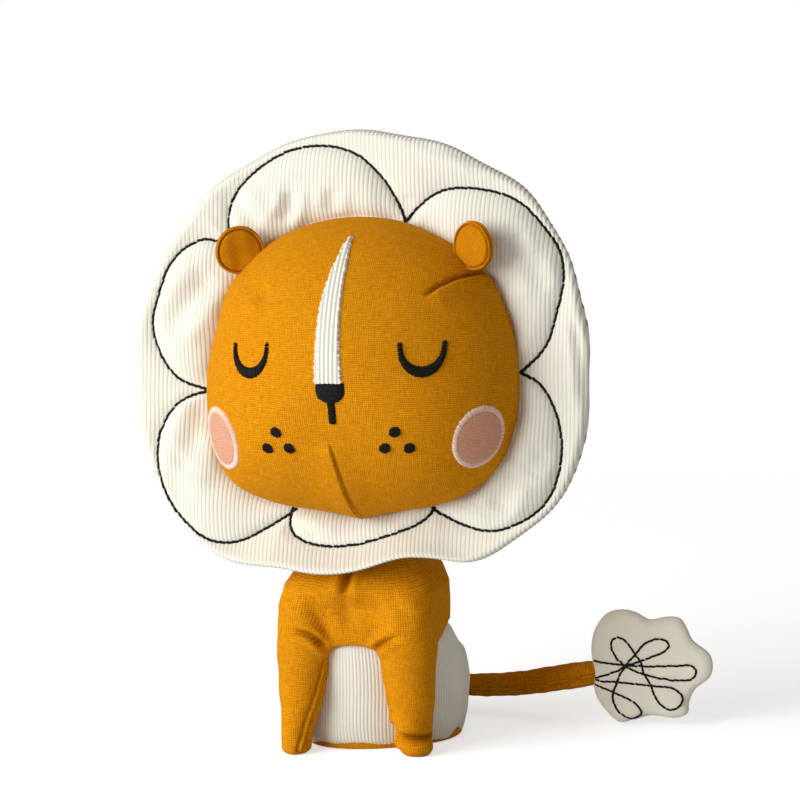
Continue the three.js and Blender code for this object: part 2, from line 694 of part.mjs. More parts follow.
const haunchShell = haunchBody(0).subtract(haunchBody(-clothThickness).intersect(above(clothThickness)));
const haunchSides = haunchShell.intersect(above(basePanelHeight + easeGap));
piece(lion, 'haunch_cover', haunchSides.intersect(seamBelow(easeGap / 2)), creamCord);
piece(lion, 'base_panel', haunchShell.intersect(below(basePanelHeight)), mustardCloth);

const torsoFill = torsoBody(-fillDepth, fillAround);
const haunchFill = haunchBody(-fillDepth, fillAround);
const fillHalves = torsoFill.intersect(seamAbove(0)).add(haunchFill.intersect(seamBelow(0)));
const bodyFill = fillHalves.add(torsoFill.intersect(haunchFill));
const fillTop = below(torsoRoof - easeGap);
const fillFoot = above(clothThickness + easeGap);
const fillInside = bodyFill.intersect(fillTop).intersect(fillFoot);
const bodyStuffing = fillInside.subtract(stemHole).subtract(legRoom(legPlayGap + fillGap));
piece(lion, 'body_stuffing', bodyStuffing, fibreFill);

// Front legs, cut where the haunches stand behind them
for (const [side, sign] of sides) {
  const opening = new THREE.CylinderGeometry(legFillOpening, legFillOpening, legRadius * 2, smallAround);
  opening.rotateX(Math.PI / 2).translate(sign * legSpacing, -legReach, shoulderHeight + legRadius);
  const behind = haunchBody(easeGap);
  const inside = legBody(sign, -clothThickness).subtract(haunchBody(easeGap + clothThickness));
  const hollow = inside.intersect(above(clothThickness));
  const core = legBody(sign, -fillDepth).subtract(haunchBody(easeGap + fillDepth));
  const fill = core.intersect(above(clothThickness + easeGap));
  const cover = legBody(sign, 0).subtract(behind).subtract(hollow).subtract(solidOf(opening));
  piece(lion, `leg_${side}_cover`, cover, mustardCloth);
  piece(lion, `leg_${side}_stuffing`, fill, fibreFill);
}

// Tail: its gathered end sits on the back seam, and the tube runs from there to the tuft
const haunchBackAt = haunchSetBackDistance + haunchHalfDepth;
const tailRootDistance = haunchBackAt + tailRootRadius + tailRootGap;
const tailRoot = [0, tailRootDistance, tailHeight];
piece(lion, 'tail_root', ballOf(tailRootRadius, tailRoot, smallAround), mustardCloth);

const tailPoint = ([way, rise]) => {
  const straight = tailRootDistance + (tailEndDistance - tailRootDistance) * way;
  const y = straight + tailSwellDistance * Math.sin(Math.PI * way);
  return new THREE.Vector3(tailReach * way, y, tailHeight + tailRiseHeight * rise);
};
const tailCurve = new THREE.CatmullRomCurve3(tailShares.map(tailPoint));
const tailWidths = new THREE.SplineCurve(tailShares.map(([way, , share]) => new THREE.Vector2(way, share)));
const tailRadiusAt = (t) => tailRadius * tailWidths.getPoint(t).y;
const tailTube = (grow, around) => limb(tailCurve, (t) => tailRadiusAt(t) + grow, around, tailSteps);
const rootClear = ballOf(tailRootRadius + easeGap, tailRoot, smallAround);
const endBlock = (gap) => solidOf(wideBlock().translate(tailReach - gap - blockSize / 2, 0, 0));
const tailHollow = tailTube(-clothThickness, smallAround).intersect(endBlock(clothThickness));
const tailCover = tailTube(0, smallAround).intersect(endBlock(0)).subtract(tailHollow);
piece(lion, 'tail_tube', tailCover.subtract(rootClear), mustardCloth);
const coreClear = ballOf(tailRootRadius + easeGap + fillGap, tailRoot, smallAround);
const tailFill = tailTube(-fillDepth, smallAround).intersect(endBlock(fillDepth));
piece(lion, 'tail_stuffing', tailFill.subtract(coreClear), fibreFill);

// Tuft: two felt layers with wadding between them and five stitched loops on each side
const tuft = new THREE.Group();
const tuftPoint = ([x, z]) => new THREE.Vector3(x * tuftHalfWidth, 0, z * tuftHalfHeight);
const tuftPoints = tuftOutlineShares.map(tuftPoint);
const tuftOutline = new THREE.CatmullRomCurve3(tuftPoints, true, 'catmullrom');
const tuftEdge = (a) => {
  const { x, z } = tuftOutline.getPoint(a / (2 * Math.PI));
  return [x, z];
};
const tuftLoop = turns(tuftAround).map(tuftEdge);
const tuftMiddleHeight = tuftGroundGap - Math.min(...tuftLoop.map(([, z]) => z));
// The outline's left edge where the tail meets it
const tuftSeatHeight = tailHeight + tailRiseHeight - tuftMiddleHeight;
const tuftSeat = tuftLoop.filter(([, z]) => Math.abs(z - tuftSeatHeight) < tailRadius);
const tuftLeft = Math.min(...tuftSeat.map(([x]) => x));
tuft.position.set(tailReach + tuftGap - tuftLeft, tailEndDistance, tuftMiddleHeight);
lion.add(tuft);

const tuftEdgeHalf = clothThickness + easeGap / 2;
const tuftHalfAt = (share) => tuftEdgeHalf + (tuftHalfThickness - tuftEdgeHalf) * (1 - share ** 2);
const tuftLayer = (front, back, shrink = 1) => {
  const edge = (a) => tuftEdge(a).map((length) => length * shrink);
  const shrunk = (depthAt) => (share) => depthAt(share * shrink);
  return leaf(edge, shrunk(front), shrunk(back), tuftAround, leafRings);
};
const tuftInsideAt = (share) => tuftHalfAt(share) - clothThickness;
piece(tuft, 'tuft_front', tuftLayer((s) => -tuftHalfAt(s), (s) => -tuftInsideAt(s)), offWhiteFelt);
piece(tuft, 'tuft_back', tuftLayer(tuftInsideAt, tuftHalfAt), offWhiteFelt);
const tuftFill = (s) => (tuftHalfThickness - tuftEdgeHalf) * (1 - s ** 2) - easeGap;
piece(tuft, 'tuft_wadding', tuftLayer((s) => -tuftFill(s), tuftFill, tuftWaddingShare), fibreFill);

// How far out a point of the tuft lies, as a share of the way to its outline
function tuftShareAt(x, z) {
  const shares = tuftLoop.map(([ax, az], i) => {
    const [bx, bz] = tuftLoop[(i + 1) % tuftLoop.length];
    const turn = x * (bz - az) - z * (bx - ax);
    const along = (ax * z - az * x) / turn;
    return along >= 0 && along <= 1 ? turn / (ax * bz - az * bx) : 0;
  });
  return Math.max(...shares);
}

function tuftLoops(side) {
  const strands = tuftStrandShares.map((strand) => {
    const points = strand.map(([toX, toZ]) => {
      const [x, z] = [toX * tuftHalfWidth, toZ * tuftHalfHeight];
      const lie = tuftHalfAt(Math.min(1, tuftShareAt(x, z))) + easeGap + threadWidth / 2;
      return new THREE.Vector3(x, side * lie, z);
    });
    const route = new THREE.CatmullRomCurve3(points);
    return limb(route, () => threadWidth / 2, loopAround, points.length * 2);
  });
  return strands.reduce((sum, strand) => sum.add(strand));
}

piece(tuft, 'tuft_loop_stitch_front', tuftLoops(-1), blackThread);
piece(tuft, 'tuft_loop_stitch_back', tuftLoops(1), blackThread);

export default lion;
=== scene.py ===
# %% [markdown]
# # A small plush lion
# This lesson dresses a jointed frame as a sewn toy. The frame holds plain solids for every piece, in
# metres, with the lion looking along -Y and standing on the ground at z = 0. Each cell makes one piece
# or one finish of the real toy, and each piece rides on the body of the frame that carries it.

# %% The frame
import math

import bmesh
import bpy
import numpy as np
from mathutils import Matrix, Vector
from mathutils.kdtree import KDTree


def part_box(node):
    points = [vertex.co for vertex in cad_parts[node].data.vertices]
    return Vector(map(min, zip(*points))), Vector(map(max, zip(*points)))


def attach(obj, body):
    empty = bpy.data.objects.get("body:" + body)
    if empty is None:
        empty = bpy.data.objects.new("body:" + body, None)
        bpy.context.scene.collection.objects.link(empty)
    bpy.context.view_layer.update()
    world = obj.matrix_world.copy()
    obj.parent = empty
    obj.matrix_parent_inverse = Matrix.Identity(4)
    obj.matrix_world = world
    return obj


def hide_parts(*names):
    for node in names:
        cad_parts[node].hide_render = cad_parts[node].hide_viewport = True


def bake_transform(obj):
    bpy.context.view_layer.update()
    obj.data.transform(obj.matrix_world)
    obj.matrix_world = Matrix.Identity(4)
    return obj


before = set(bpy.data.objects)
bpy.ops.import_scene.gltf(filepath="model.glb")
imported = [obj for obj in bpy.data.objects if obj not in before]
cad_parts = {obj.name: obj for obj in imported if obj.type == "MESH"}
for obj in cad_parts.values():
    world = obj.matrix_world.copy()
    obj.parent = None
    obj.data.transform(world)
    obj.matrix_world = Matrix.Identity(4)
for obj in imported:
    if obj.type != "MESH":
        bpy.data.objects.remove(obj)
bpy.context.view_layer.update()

# %% [markdown]
# ## Camera
# The toy was seen from its own left, a little above level, through a long lens about a metre away. A
# long lens keeps the big head and the small paws at their true sizes. The camera aims at a point beside
# the lion, because the tail fills the right of the picture.

# %% The camera
MM = 0.001
CAMERA_TURN, CAMERA_RISE = math.radians(16), math.radians(8.5)
CAMERA_DISTANCE, CAMERA_LENS, FILM_WIDTH, SEEN_FROM, SEEN_TO = 1000 * MM, 156.25, 36, 0.01, 50
AIM_RIGHT, AIM_UP = 7.2 * MM, 96.77 * MM

towards_camera = Vector((
    math.sin(CAMERA_TURN) * math.cos(CAMERA_RISE),
    -math.cos(CAMERA_TURN) * math.cos(CAMERA_RISE),
    math.sin(CAMERA_RISE),
))
picture_right = Vector((math.cos(CAMERA_TURN), math.sin(CAMERA_TURN), 0))
picture_up = towards_camera.cross(picture_right)
camera = bpy.data.objects.new("camera", bpy.data.cameras.new("camera"))
bpy.context.scene.collection.objects.link(camera)
camera.data.lens, camera.data.sensor_width = CAMERA_LENS, FILM_WIDTH
camera.data.clip_start, camera.data.clip_end = SEEN_FROM, SEEN_TO
camera.location = picture_right * AIM_RIGHT + picture_up * AIM_UP + towards_camera * CAMERA_DISTANCE
camera.rotation_mode = "QUATERNION"
camera.rotation_quaternion = (-towards_camera).to_track_quat("-Z", "Y")
bpy.context.scene.camera = camera
print("camera at", [round(x, 3) for x in camera.location])

# %% [markdown]
# ## Nodes in short
# Materials are graphs of nodes. These helpers add one node and connect its inputs in a line, so that a
# finish reads like its recipe: a value is either a plain number or another node's output.

# %% Helpers for materials
def new_finish(name):
    """An empty material and its tree of nodes."""
    finish = bpy.data.materials.new(name)
    finish.use_nodes = True
    finish.node_tree.nodes.clear()
    return finish, finish.node_tree


def add(tree, kind, inputs=None, **settings):
    """Adds a node; an input is a plain value or the output of another node."""
    node = tree.nodes.new(kind)
    for key, value in settings.items():
        setattr(node, key, value)
    for key, value in (inputs or {}).items():
        if isinstance(value, bpy.types.NodeSocket):
            tree.links.new(value, node.inputs[key])
        else:
            node.inputs[key].default_value = value
    return node


def maths(tree, operation, *values):
    return add(tree, "ShaderNodeMath", dict(enumerate(values)), operation=operation).outputs[0]


def grain(tree, place, scale, detail=2.0, roughness=0.5):
    """Noise from 0 to 1, finer with a larger scale."""
    inputs = {"Vector": place, "Scale": scale, "Detail": detail, "Roughness": roughness}
    return add(tree, "ShaderNodeTexNoise", inputs).outputs["Fac"]


def colour_mix(tree, share, first, second):
    node = add(tree, "ShaderNodeMix", data_type="RGBA")
    for key, value in ((0, share), (6, first), (7, second)):
        if isinstance(value, bpy.types.NodeSocket):
            tree.links.new(value, node.inputs[key])
        else:
            node.inputs[key].default_value = value if key == 0 else (*value, 1)
    return node.outputs[2]


def spread(tree, value, low, high):
    """0 where the value is low, 1 where it is high."""
    return add(tree, "ShaderNodeMapRange", {0: value, 1: low, 2: high}).outputs[0]


def close_finish(tree, colour, height, relief, roughness, sheen, sheen_tint, gloss):
    """Ends a recipe: the relief is the bump's depth in metres, the sheen stands for loose fibres."""
    bump = add(tree, "ShaderNodeBump", {"Height": height, "Distance": relief, "Strength": 1.0})
    shader = add(tree, "ShaderNodeBsdfPrincipled", {
        "Base Color": colour, "Roughness": roughness, "Specular IOR Level": gloss,
        "Sheen Weight": sheen, "Sheen Roughness": 0.5, "Sheen Tint": (*sheen_tint, 1),
        "Normal": bump.outputs[0],
    })
    output = add(tree, "ShaderNodeOutputMaterial")
    tree.links.new(shader.outputs[0], output.inputs[0])


def cloth_axes(tree):
    """A point's place on the cloth in millimetres, whole and as its first two parts."""
    place = add(tree, "ShaderNodeAttribute", attribute_name="cloth_place").outputs["Vector"]
    parts = add(tree, "ShaderNodeSeparateXYZ", {0: place})
    return place, parts.outputs[0], parts.outputs[1]


def stretched(tree, place, across, along):
    return add(tree, "ShaderNodeMapping", {"Vector": place, "Scale": (across, along, 1)}).outputs[0]


print("helpers for materials are ready")

# %% [markdown]
# ## Mustard cloth
# The body is sewn from a plain weave with two threads to the millimetre. A brick-like wave of the two
# thread directions gives the over and under, stretched noise makes single threads lighter or darker,
# and a few pale flecks stand for slubs. The pattern is laid by each piece's own cloth coordinates, in
# millimetres, so that it runs round the form as real cloth does. Little light reaches the bottom of a
# tight crease, so a piece may also say where its creases lie, and the cloth is darker there.

# %% Mustard cloth
THREAD_PITCH, WEAVE_RELIEF = 0.5, 0.00009
# How far noise is stretched along and across a thread to make it a streak
STREAK_ALONG, STREAK_ACROSS = 0.35, 2.2
STREAK_CONTRAST, KNUCKLE_CONTRAST, MIDDLE_TONE = 1.05, 0.95, 0.55
# How strong the slubs are, and how strong and how dark the shade painted into creases is
FLECK_SHARE, CREASE_SHARE, CREASE_SHADE = 0.4, 0.8, 0.3


def weave_finish(name, light, dark, fleck, pitch=THREAD_PITCH, streak=1.0):
    """Plain weave with its threads a pitch apart; streak makes single threads stand out more."""
    finish, tree = new_finish(name)
    place, across, along = cloth_axes(tree)
    wobble = maths(tree, "MULTIPLY", grain(tree, place, 0.35), 0.8)
    warp, weft = (
        maths(tree, "SINE", maths(tree, "MULTIPLY", maths(tree, "ADD", axis, wobble), math.pi / pitch))
        for axis in (across, along))
    crossing = maths(tree, "MULTIPLY", warp, weft)
    knuckle = maths(tree, "POWER", maths(tree, "ABSOLUTE", crossing), 0.6)
    warp_streaks, weft_streaks = (
        grain(tree, stretched(tree, place, *scales), 1.0, 2.0, 0.6)
        for scales in ((STREAK_ACROSS, STREAK_ALONG), (STREAK_ALONG, STREAK_ACROSS)))
    streaks = maths(tree, "ADD", warp_streaks, weft_streaks)
    uneven = maths(tree, "SUBTRACT", streaks, 1.0)
    tone = maths(tree, "MULTIPLY_ADD", uneven, STREAK_CONTRAST * streak, MIDDLE_TONE)
    tone = maths(tree, "MULTIPLY_ADD", maths(tree, "SUBTRACT", knuckle, 0.6), KNUCKLE_CONTRAST, tone)
    tone = maths(tree, "MAXIMUM", maths(tree, "MINIMUM", tone, 1.0), 0.0)
    slubs = spread(tree, grain(tree, stretched(tree, place, 1.1, 2.3), 1.0, 1.0), 0.76, 0.82)
    # Painted shade: the cloth is darkened where the mesh's crease attribute marks a tight crease
    crease = add(tree, "ShaderNodeAttribute", attribute_name="crease").outputs["Fac"]
    colour = colour_mix(tree, tone, dark, light)
    colour = colour_mix(tree, maths(tree, "MULTIPLY", slubs, FLECK_SHARE), colour, fleck)
    crease_shade_colour = tuple(CREASE_SHADE * part for part in dark)
    colour = colour_mix(tree, maths(tree, "MULTIPLY", crease, CREASE_SHARE), colour, crease_shade_colour)
    height = maths(tree, "MULTIPLY_ADD", streaks, 0.35, knuckle)
    close_finish(tree, colour, height, WEAVE_RELIEF, 0.95, 0.12, light, 0.05)
    return finish


MUSTARD_LIGHT, MUSTARD_DARK, MUSTARD_FLECK = (0.81, 0.347, 0.007), (0.45, 0.14, 0.0014), (0.90, 0.55, 0.08)
# The ears' colours are the body's mustard painted darker: painted shade for the shade the ears lie in
SHADED_EAR_LIGHT, SHADED_EAR_DARK = (0.66, 0.265, 0.005), (0.40, 0.125, 0.0013)
# The tail's colours are the body's mustard painted darker: painted shade for the tail lying in the body's
# shadow
SHADED_TAIL_LIGHT, SHADED_TAIL_DARK = (0.66, 0.245, 0.004), (0.36, 0.105, 0.001)
CHEEK_LIGHT, CHEEK_DARK, CHEEK_FLECK = (0.80, 0.44, 0.29), (0.54, 0.25, 0.16), (0.88, 0.60, 0.46)
mustard_cloth = weave_finish("mustard cloth", MUSTARD_LIGHT, MUSTARD_DARK, MUSTARD_FLECK)
shaded_ear_cloth = weave_finish("mustard ear cloth with painted shade", SHADED_EAR_LIGHT, SHADED_EAR_DARK, MUSTARD_FLECK, 0.4, 0.8)
shaded_tail_cloth = weave_finish("mustard tail cloth with painted shade", SHADED_TAIL_LIGHT, SHADED_TAIL_DARK, MUSTARD_FLECK, THREAD_PITCH, 1.7)
cheek_cloth = weave_finish("pink cheek cloth", CHEEK_LIGHT, CHEEK_DARK, CHEEK_FLECK, 0.42)
print("made", mustard_cloth.name, "with a thread every", THREAD_PITCH, "mm")

# %% [markdown]
# ## Cream corduroy
# Needlecord has soft ribs, the wales, 1.2 mm apart, with a narrow groove between them. The ribs are
# modelled in the meshes below, so that they serrate the edges, and this finish only sharpens the groove,
# paints it a little darker as shade and adds the short fuzz of the pile.

# %% Cream corduroy and felt
WALE_PITCH, CORD_RELIEF, FELT_RELIEF = 1.2, 0.00005, 0.00025


def cord_finish(name, light, groove):
    """Needlecord, with its wales along the second part of the place on the cloth."""
    finish, tree = new_finish(name)
    place, across, _ = cloth_axes(tree)
    rib = maths(tree, "COSINE", maths(tree, "MULTIPLY", across, 2 * math.pi / WALE_PITCH))
    depth = spread(tree, rib, -1.0, -0.2)
    pile = grain(tree, stretched(tree, place, 4.0, 1.6), 1.0, 3.0, 0.7)
    cloud = grain(tree, place, 0.12, 1.0)
    # The groove colour is painted shade for the little light that reaches the groove; the fuzz below also
    # mixes it in as darker pile
    colour = colour_mix(tree, depth, groove, light)
    fuzz = maths(tree, "MULTIPLY", maths(tree, "ADD", pile, cloud), 0.16)
    colour = colour_mix(tree, fuzz, colour, groove)
    height = maths(tree, "MULTIPLY_ADD", pile, 0.6, maths(tree, "POWER", depth, 0.5))
    close_finish(tree, colour, height, CORD_RELIEF, 0.95, 0.2, (1.0, 0.98, 0.92), 0.05)
    return finish


def felt_finish(name, light, dark):
    """Matted fibres with no direction, and soft clouds in the colour."""
    finish, tree = new_finish(name)
    place = cloth_axes(tree)[0]
    fibres = grain(tree, place, 2.2, 5.0, 0.75)
    cloud = grain(tree, place, 0.25, 2.0)
    share = maths(tree, "MULTIPLY_ADD", fibres, 0.7, maths(tree, "MULTIPLY", cloud, 0.3))
    close_finish(tree, colour_mix(tree, share, dark, light), fibres, FELT_RELIEF, 1.0, 0.3, light, 0.1)
    return finish


# The second colour is the groove's painted shade, and also the darker pile
cream_cord = cord_finish("cream corduroy", (0.80, 0.80, 0.71), (0.66, 0.645, 0.55))
white_felt = felt_finish("off-white felt", (0.93, 0.90, 0.79), (0.74, 0.70, 0.57))
print("made", cream_cord.name, "with a wale every", WALE_PITCH, "mm")

# %% [markdown]
# ## Thread
# Embroidery thread is slightly glossy along its length. Each thread below is its own thin tube, so the
# finish needs only a fine twist and a soft shine.

# %% Thread
THREAD_RELIEF, TWIST_TURNS = 0.00006, 14.0


def thread_finish(name, light, dark, roughness):
    """Twisted thread with a few hairs."""
    finish, tree = new_finish(name)
    place, across, along = cloth_axes(tree)
    twist = maths(tree, "SINE", maths(tree, "MULTIPLY", maths(tree, "ADD", across, along), TWIST_TURNS))
    hairs = grain(tree, place, 5.0, 3.0, 0.6)
    colour = colour_mix(tree, hairs, dark, light)
    height = maths(tree, "MULTIPLY_ADD", twist, 0.3, hairs)
    close_finish(tree, colour, height, THREAD_RELIEF, roughness, 0.1, light, 0.18)
    return finish


black_thread = thread_finish("black thread", (0.012, 0.010, 0.008), (0.004, 0.0035, 0.003), 0.7)
mustard_thread = thread_finish("mustard thread", (0.62, 0.25, 0.012), (0.25, 0.085, 0.004), 0.6)
pink_thread = thread_finish("pink satin thread", (0.95, 0.76, 0.64), (0.80, 0.52, 0.42), 0.5)
print("made", black_thread.name, mustard_thread.name, pink_thread.name)

# %% [markdown]
# ## From numbers to meshes
# Every piece starts as an array of points in millimetres. A grid of points becomes a sheet of quads,
# which can close on itself from side to side. Each point's place on the cloth is kept with the mesh, and
# the piece is tied to its body, to its finish and to the solids that it replaces.

# %% Helpers for meshes
def turns(count):
    """Even turns round a full circle."""
    return np.linspace(0, 2 * math.pi, count, endpoint=False)


def loop_at(angle, x, y, z, half_width, half_depth):
    """A level loop round a middle. Each measure is one number, or one for each angle."""
    return np.stack([x + half_width * np.cos(angle), y + half_depth * np.sin(angle), z + 0 * angle], -1)


def ball_grid(rows, columns, margin):
    """Turns from pole to pole and round the axis, for a closed ball without its two poles."""
    return np.meshgrid(np.linspace(margin, math.pi - margin, rows), turns(columns), indexing="ij")


def grid_faces(rows, columns, closed=True):
    """The quads of a grid of points, closed or open from its last column to its first."""
    i = np.arange(rows - 1)[:, None]
    j = np.arange(columns if closed else columns - 1)[None, :]
    below, beside = i + 1, (j + 1) % columns
    corners = [i * columns + j, i * columns + beside, below * columns + beside, below * columns + j]
    return np.stack(np.broadcast_arrays(*corners), -1).reshape(-1, 4)


def on_cloth(across, along, patch=0.0):
    """Places on the cloth in millimetres. Each patch has a grain of its own."""
    return np.stack([across, along, np.full(len(across), patch)], -1)


def cloth_mesh(name, points, faces, cloth_place):
    """A mesh from points in millimetres, which knows each point's place on the cloth."""
    mesh = bpy.data.meshes.new(name)
    mesh.from_pydata((np.asarray(points) * MM).tolist(), [], np.asarray(faces).tolist())
    place = mesh.attributes.new("cloth_place", "FLOAT_VECTOR", "POINT")
    place.data.foreach_set("vector", np.asarray(cloth_place, np.float32).ravel())
    return mesh


def shade_creases(mesh, flat, facing, creases):
    """Notes how much painted shade each point gets from the creases near it. Creases are (line, strength,
    width) in the plane x, z.
    """
    shade = np.zeros(len(flat))
    for line, strength, width in creases:
        gap, _, along = away_from(flat, smooth_curve(line, 40))
        fade = np.clip(np.minimum(along, 1 - along) * 5 + 0.2, 0, 1)
        shade = np.maximum(shade, strength * fade * facing * bump_at(gap, 0, width))
    mesh.attributes.new("crease", "FLOAT", "POINT").data.foreach_set("value", shade.astype(np.float32))


def sew(name, mesh, finish, body, replaced=()):
    """Makes the mesh a piece of the toy: its finish, its body and the solids it stands for."""
    solid = bmesh.new()
    solid.from_mesh(mesh)
    bmesh.ops.recalc_face_normals(solid, faces=solid.faces)
    solid.to_mesh(mesh)
    solid.free()
    mesh.materials.append(finish)
    mesh.polygons.foreach_set("use_smooth", [True] * len(mesh.polygons))
    piece = bpy.data.objects.new(name, mesh)
    bpy.context.scene.collection.objects.link(piece)
    if body:
        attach(piece, body)
    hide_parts(*replaced)
    print(f"{name}: {len(mesh.vertices)} points, {len(mesh.polygons)} faces")
    return piece


def smooth_curve(points, count, closed=False):
    """Points evenly along a Catmull-Rom curve through the given ones."""
    points = np.asarray(points, float)
    ring = np.vstack([points[-1], points, points[:2]]) if closed else np.vstack(
        [2 * points[0] - points[1], points, 2 * points[-1] - points[-2]])
    spans = len(points) if closed else len(points) - 1
    t = np.linspace(0, spans, spans * 24, endpoint=not closed)
    k = np.minimum(t.astype(int), spans - 1)
    f = (t - k)[:, None]
    a, b, c, d = (ring[k + n] for n in range(4))
    fine = 0.5 * (2 * b + (c - a) * f + (2 * a - 5 * b + 4 * c - d) * f**2 + (3 * b - a - 3 * c + d) * f**3)
    if closed:
        fine = np.vstack([fine, fine[:1]])
    length = np.r_[0, np.cumsum(np.linalg.norm(np.diff(fine, axis=0), axis=1))]
    wanted = np.linspace(0, length[-1], count, endpoint=not closed)
    return np.stack([np.interp(wanted, length, fine[:, axis]) for axis in range(fine.shape[1])], 1)


def bump_at(value, middle, width):
    """A soft bell, 1 at its middle."""
    return np.exp(-(((value - middle) / width) ** 2))


def unit(vectors):
    """The same directions, all of length 1."""
    return vectors / np.maximum(np.linalg.norm(vectors, axis=-1, keepdims=True), 1e-9)


def away_from(points, line):
    """Distance of each 2-D point to a line of points, its side and how far along the line it is."""
    points, line = np.asarray(points, float), np.asarray(line, float)
    best = np.full(len(points), 1e9)
    side, along = np.zeros(len(points)), np.zeros(len(points))
    for k in range(len(line) - 1):
        start, step = line[k], line[k + 1] - line[k]
        share = np.clip(((points - start) @ step) / (step @ step), 0, 1)
        gap = points - start - share[:, None] * step
        reach = np.hypot(gap[:, 0], gap[:, 1])
        closer = reach < best
        best[closer] = reach[closer]
        side[closer] = np.sign(gap[closer, 0] * step[1] - gap[closer, 1] * step[0])
        along[closer] = (k + share[closer]) / (len(line) - 1)
    return best, side, along


def gaps_to(points, others):
    """Distance of each point to the nearest of the others."""
    tree = KDTree(len(others))
    for index, other in enumerate(others):
        tree.insert(other, index)
    tree.balance()
    return np.array([tree.find(point)[2] for point in points])


print("helpers for meshes are ready")

# %% [markdown]
# ## The head's form
# The head is a stuffed ball with two full lower corners, cut in a face and a nape that meet at the mane.
# It leans forward by 4 degrees. Everything on the face is laid on this one surface: a point and a
# direction go in, and the point on the cloth comes out. Darts and dimples push the surface in, and the
# seam pinches it where the mane comes out.

# %% The head's form
HEAD_LEAN = math.radians(4)
HEAD_PLACE = np.array([0.0, -12.0, 109.6])
HEAD_HALF_WIDTH, HEAD_HALF_HEIGHT = 44.0, 41.5
FACE_DEPTH, NAPE_DEPTH = 35.0, 30.0
# The outline at 24 even turns from the lion's left over the top, as shares of the half sizes
HEAD_SHARES = [1.04, 1.032, 1.038, 1.037, 1.01, 1.01, 1.005, 1, 1, 1.005, 1.005, 0.965,
               0.993, 1.048, 1.122, 1.172, 1.113, 1.035, 1.01, 1.015, 1.067, 1.118, 1.118, 1.078]
CHIN_DART = [(-0.2, -19.4), (0.9, -23.0), (1.9, -30.6), (2.4, -36.4), (2.6, -40.5)]
BROW_DART = [(24.4, 20.9), (27.4, 23.6), (31.2, 25.8), (34.8, 26.8), (38.5, 26.6)]
# Each dart: its line, the depth and width of its crease, the step across it and the crest beside it
HEAD_DARTS = [(CHIN_DART, 0.5, 0.45, 0.3, 0.85), (BROW_DART, 1.6, 0.65, 0.5, 0.35)]
TEMPLE_FOLD = [(-21.4, 19.4), (-26.0, 22.6), (-31.0, 25.6), (-36.0, 27.6)]
DIMPLE_X, DIMPLE_Z, DIMPLE_WIDTH, DIMPLE_HEIGHT, DIMPLE_DEPTH = -21.6, 19.6, 1.7, 3.0, 0.95
SEAM_PINCH, SEAM_PINCH_WIDTH = 1.1, 1.1


def to_world(points):
    """From the head's own frame to the toy's."""
    x, y, z = np.moveaxis(np.asarray(points, float), -1, 0)
    c, s = math.cos(HEAD_LEAN), math.sin(HEAD_LEAN)
    return np.stack([x, y * c + z * s, z * c - y * s], -1) + HEAD_PLACE


def shares_round(shares, angle):
    """The share at any angle, on a smooth run through shares at even turns."""
    shares = np.asarray(shares, float)
    count = len(shares)
    at = (np.asarray(angle, float) / (2 * math.pi) % 1) * count
    k = np.floor(at).astype(int)
    t = at - k
    a, b, c, d = (shares[(k + step) % count] for step in (-1, 0, 1, 2))
    return b + 0.5 * t * (c - a + t * (2 * a - 5 * b + 4 * c - d + t * (3 * (b - c) + d - a)))


def head_swell(angle):
    """How far the head's outline stands out at an angle, as a share of its half sizes."""
    return shares_round(HEAD_SHARES, angle)


def head_share(points):
    """0 inside at the middle, 1 on the plain ball, for points in the head's own frame."""
    x, y, z = np.moveaxis(points, -1, 0)
    wide, high = x / HEAD_HALF_WIDTH, z / HEAD_HALF_HEIGHT
    swell = head_swell(np.arctan2(high, wide))
    deep = y / np.where(y < 0, FACE_DEPTH, NAPE_DEPTH)
    return np.sqrt((wide / swell) ** 2 + (high / swell) ** 2 + deep**2)


def head_normal(points):
    """The way out of the plain ball at each point."""
    slope = [head_share(points + step) - head_share(points - step) for step in 0.05 * np.eye(3)]
    return unit(np.stack(slope, -1))


def head_dent(points):
    """How far the cloth stands off the plain ball: darts, dimples and the pinch at the mane."""
    flat = points[:, [0, 2]]
    front = np.clip(-points[:, 1] / 4, 0, 1)
    dent = np.zeros(len(points))
    for line, depth, width, step, crest in HEAD_DARTS:
        gap, side, along = away_from(flat, line)
        tip = front * np.clip(along * 6, 0, 1)
        dent += tip * step * side * (1 - bump_at(gap, 0, 0.4)) * bump_at(gap, 0, 4.5)
        dent += tip * crest * (bump_at(gap, 0, 5.0) + 0.25 * bump_at(gap * side, 0.5, 0.35))
        dent -= tip * depth * bump_at(gap * side, -0.25, width)
    gap, _, along = away_from(flat, TEMPLE_FOLD)
    dent -= 0.3 * front * np.clip(1.2 - along, 0, 1) * bump_at(gap, 0, 2.2)
    x, y, z = points.T
    dent -= DIMPLE_DEPTH * front * bump_at(x, DIMPLE_X, DIMPLE_WIDTH) * bump_at(z, DIMPLE_Z, DIMPLE_HEIGHT)
    dent -= SEAM_PINCH * bump_at(y, 0, SEAM_PINCH_WIDTH)
    dent += 0.35 * np.sin(x / 7.5 + 1.3) * np.sin(z / 9.0 + 0.4) * front
    return dent


def onto_head(points, direction):
    """Slides each point along a direction to the head's cloth; gives points and normals."""
    points = np.array(points, float)
    direction = np.broadcast_to(np.asarray(direction, float), points.shape)
    for _ in range(12):
        here = head_share(points) - 1
        slope = (head_share(points + 0.05 * direction) - head_share(points - 0.05 * direction)) / 0.1
        slope = np.where(np.abs(slope) < 1e-4, 1e-4, slope)
        points = points - np.clip(here / slope, -6, 6)[:, None] * direction
    normals = head_normal(points)
    return points + normals * head_dent(points)[:, None], normals


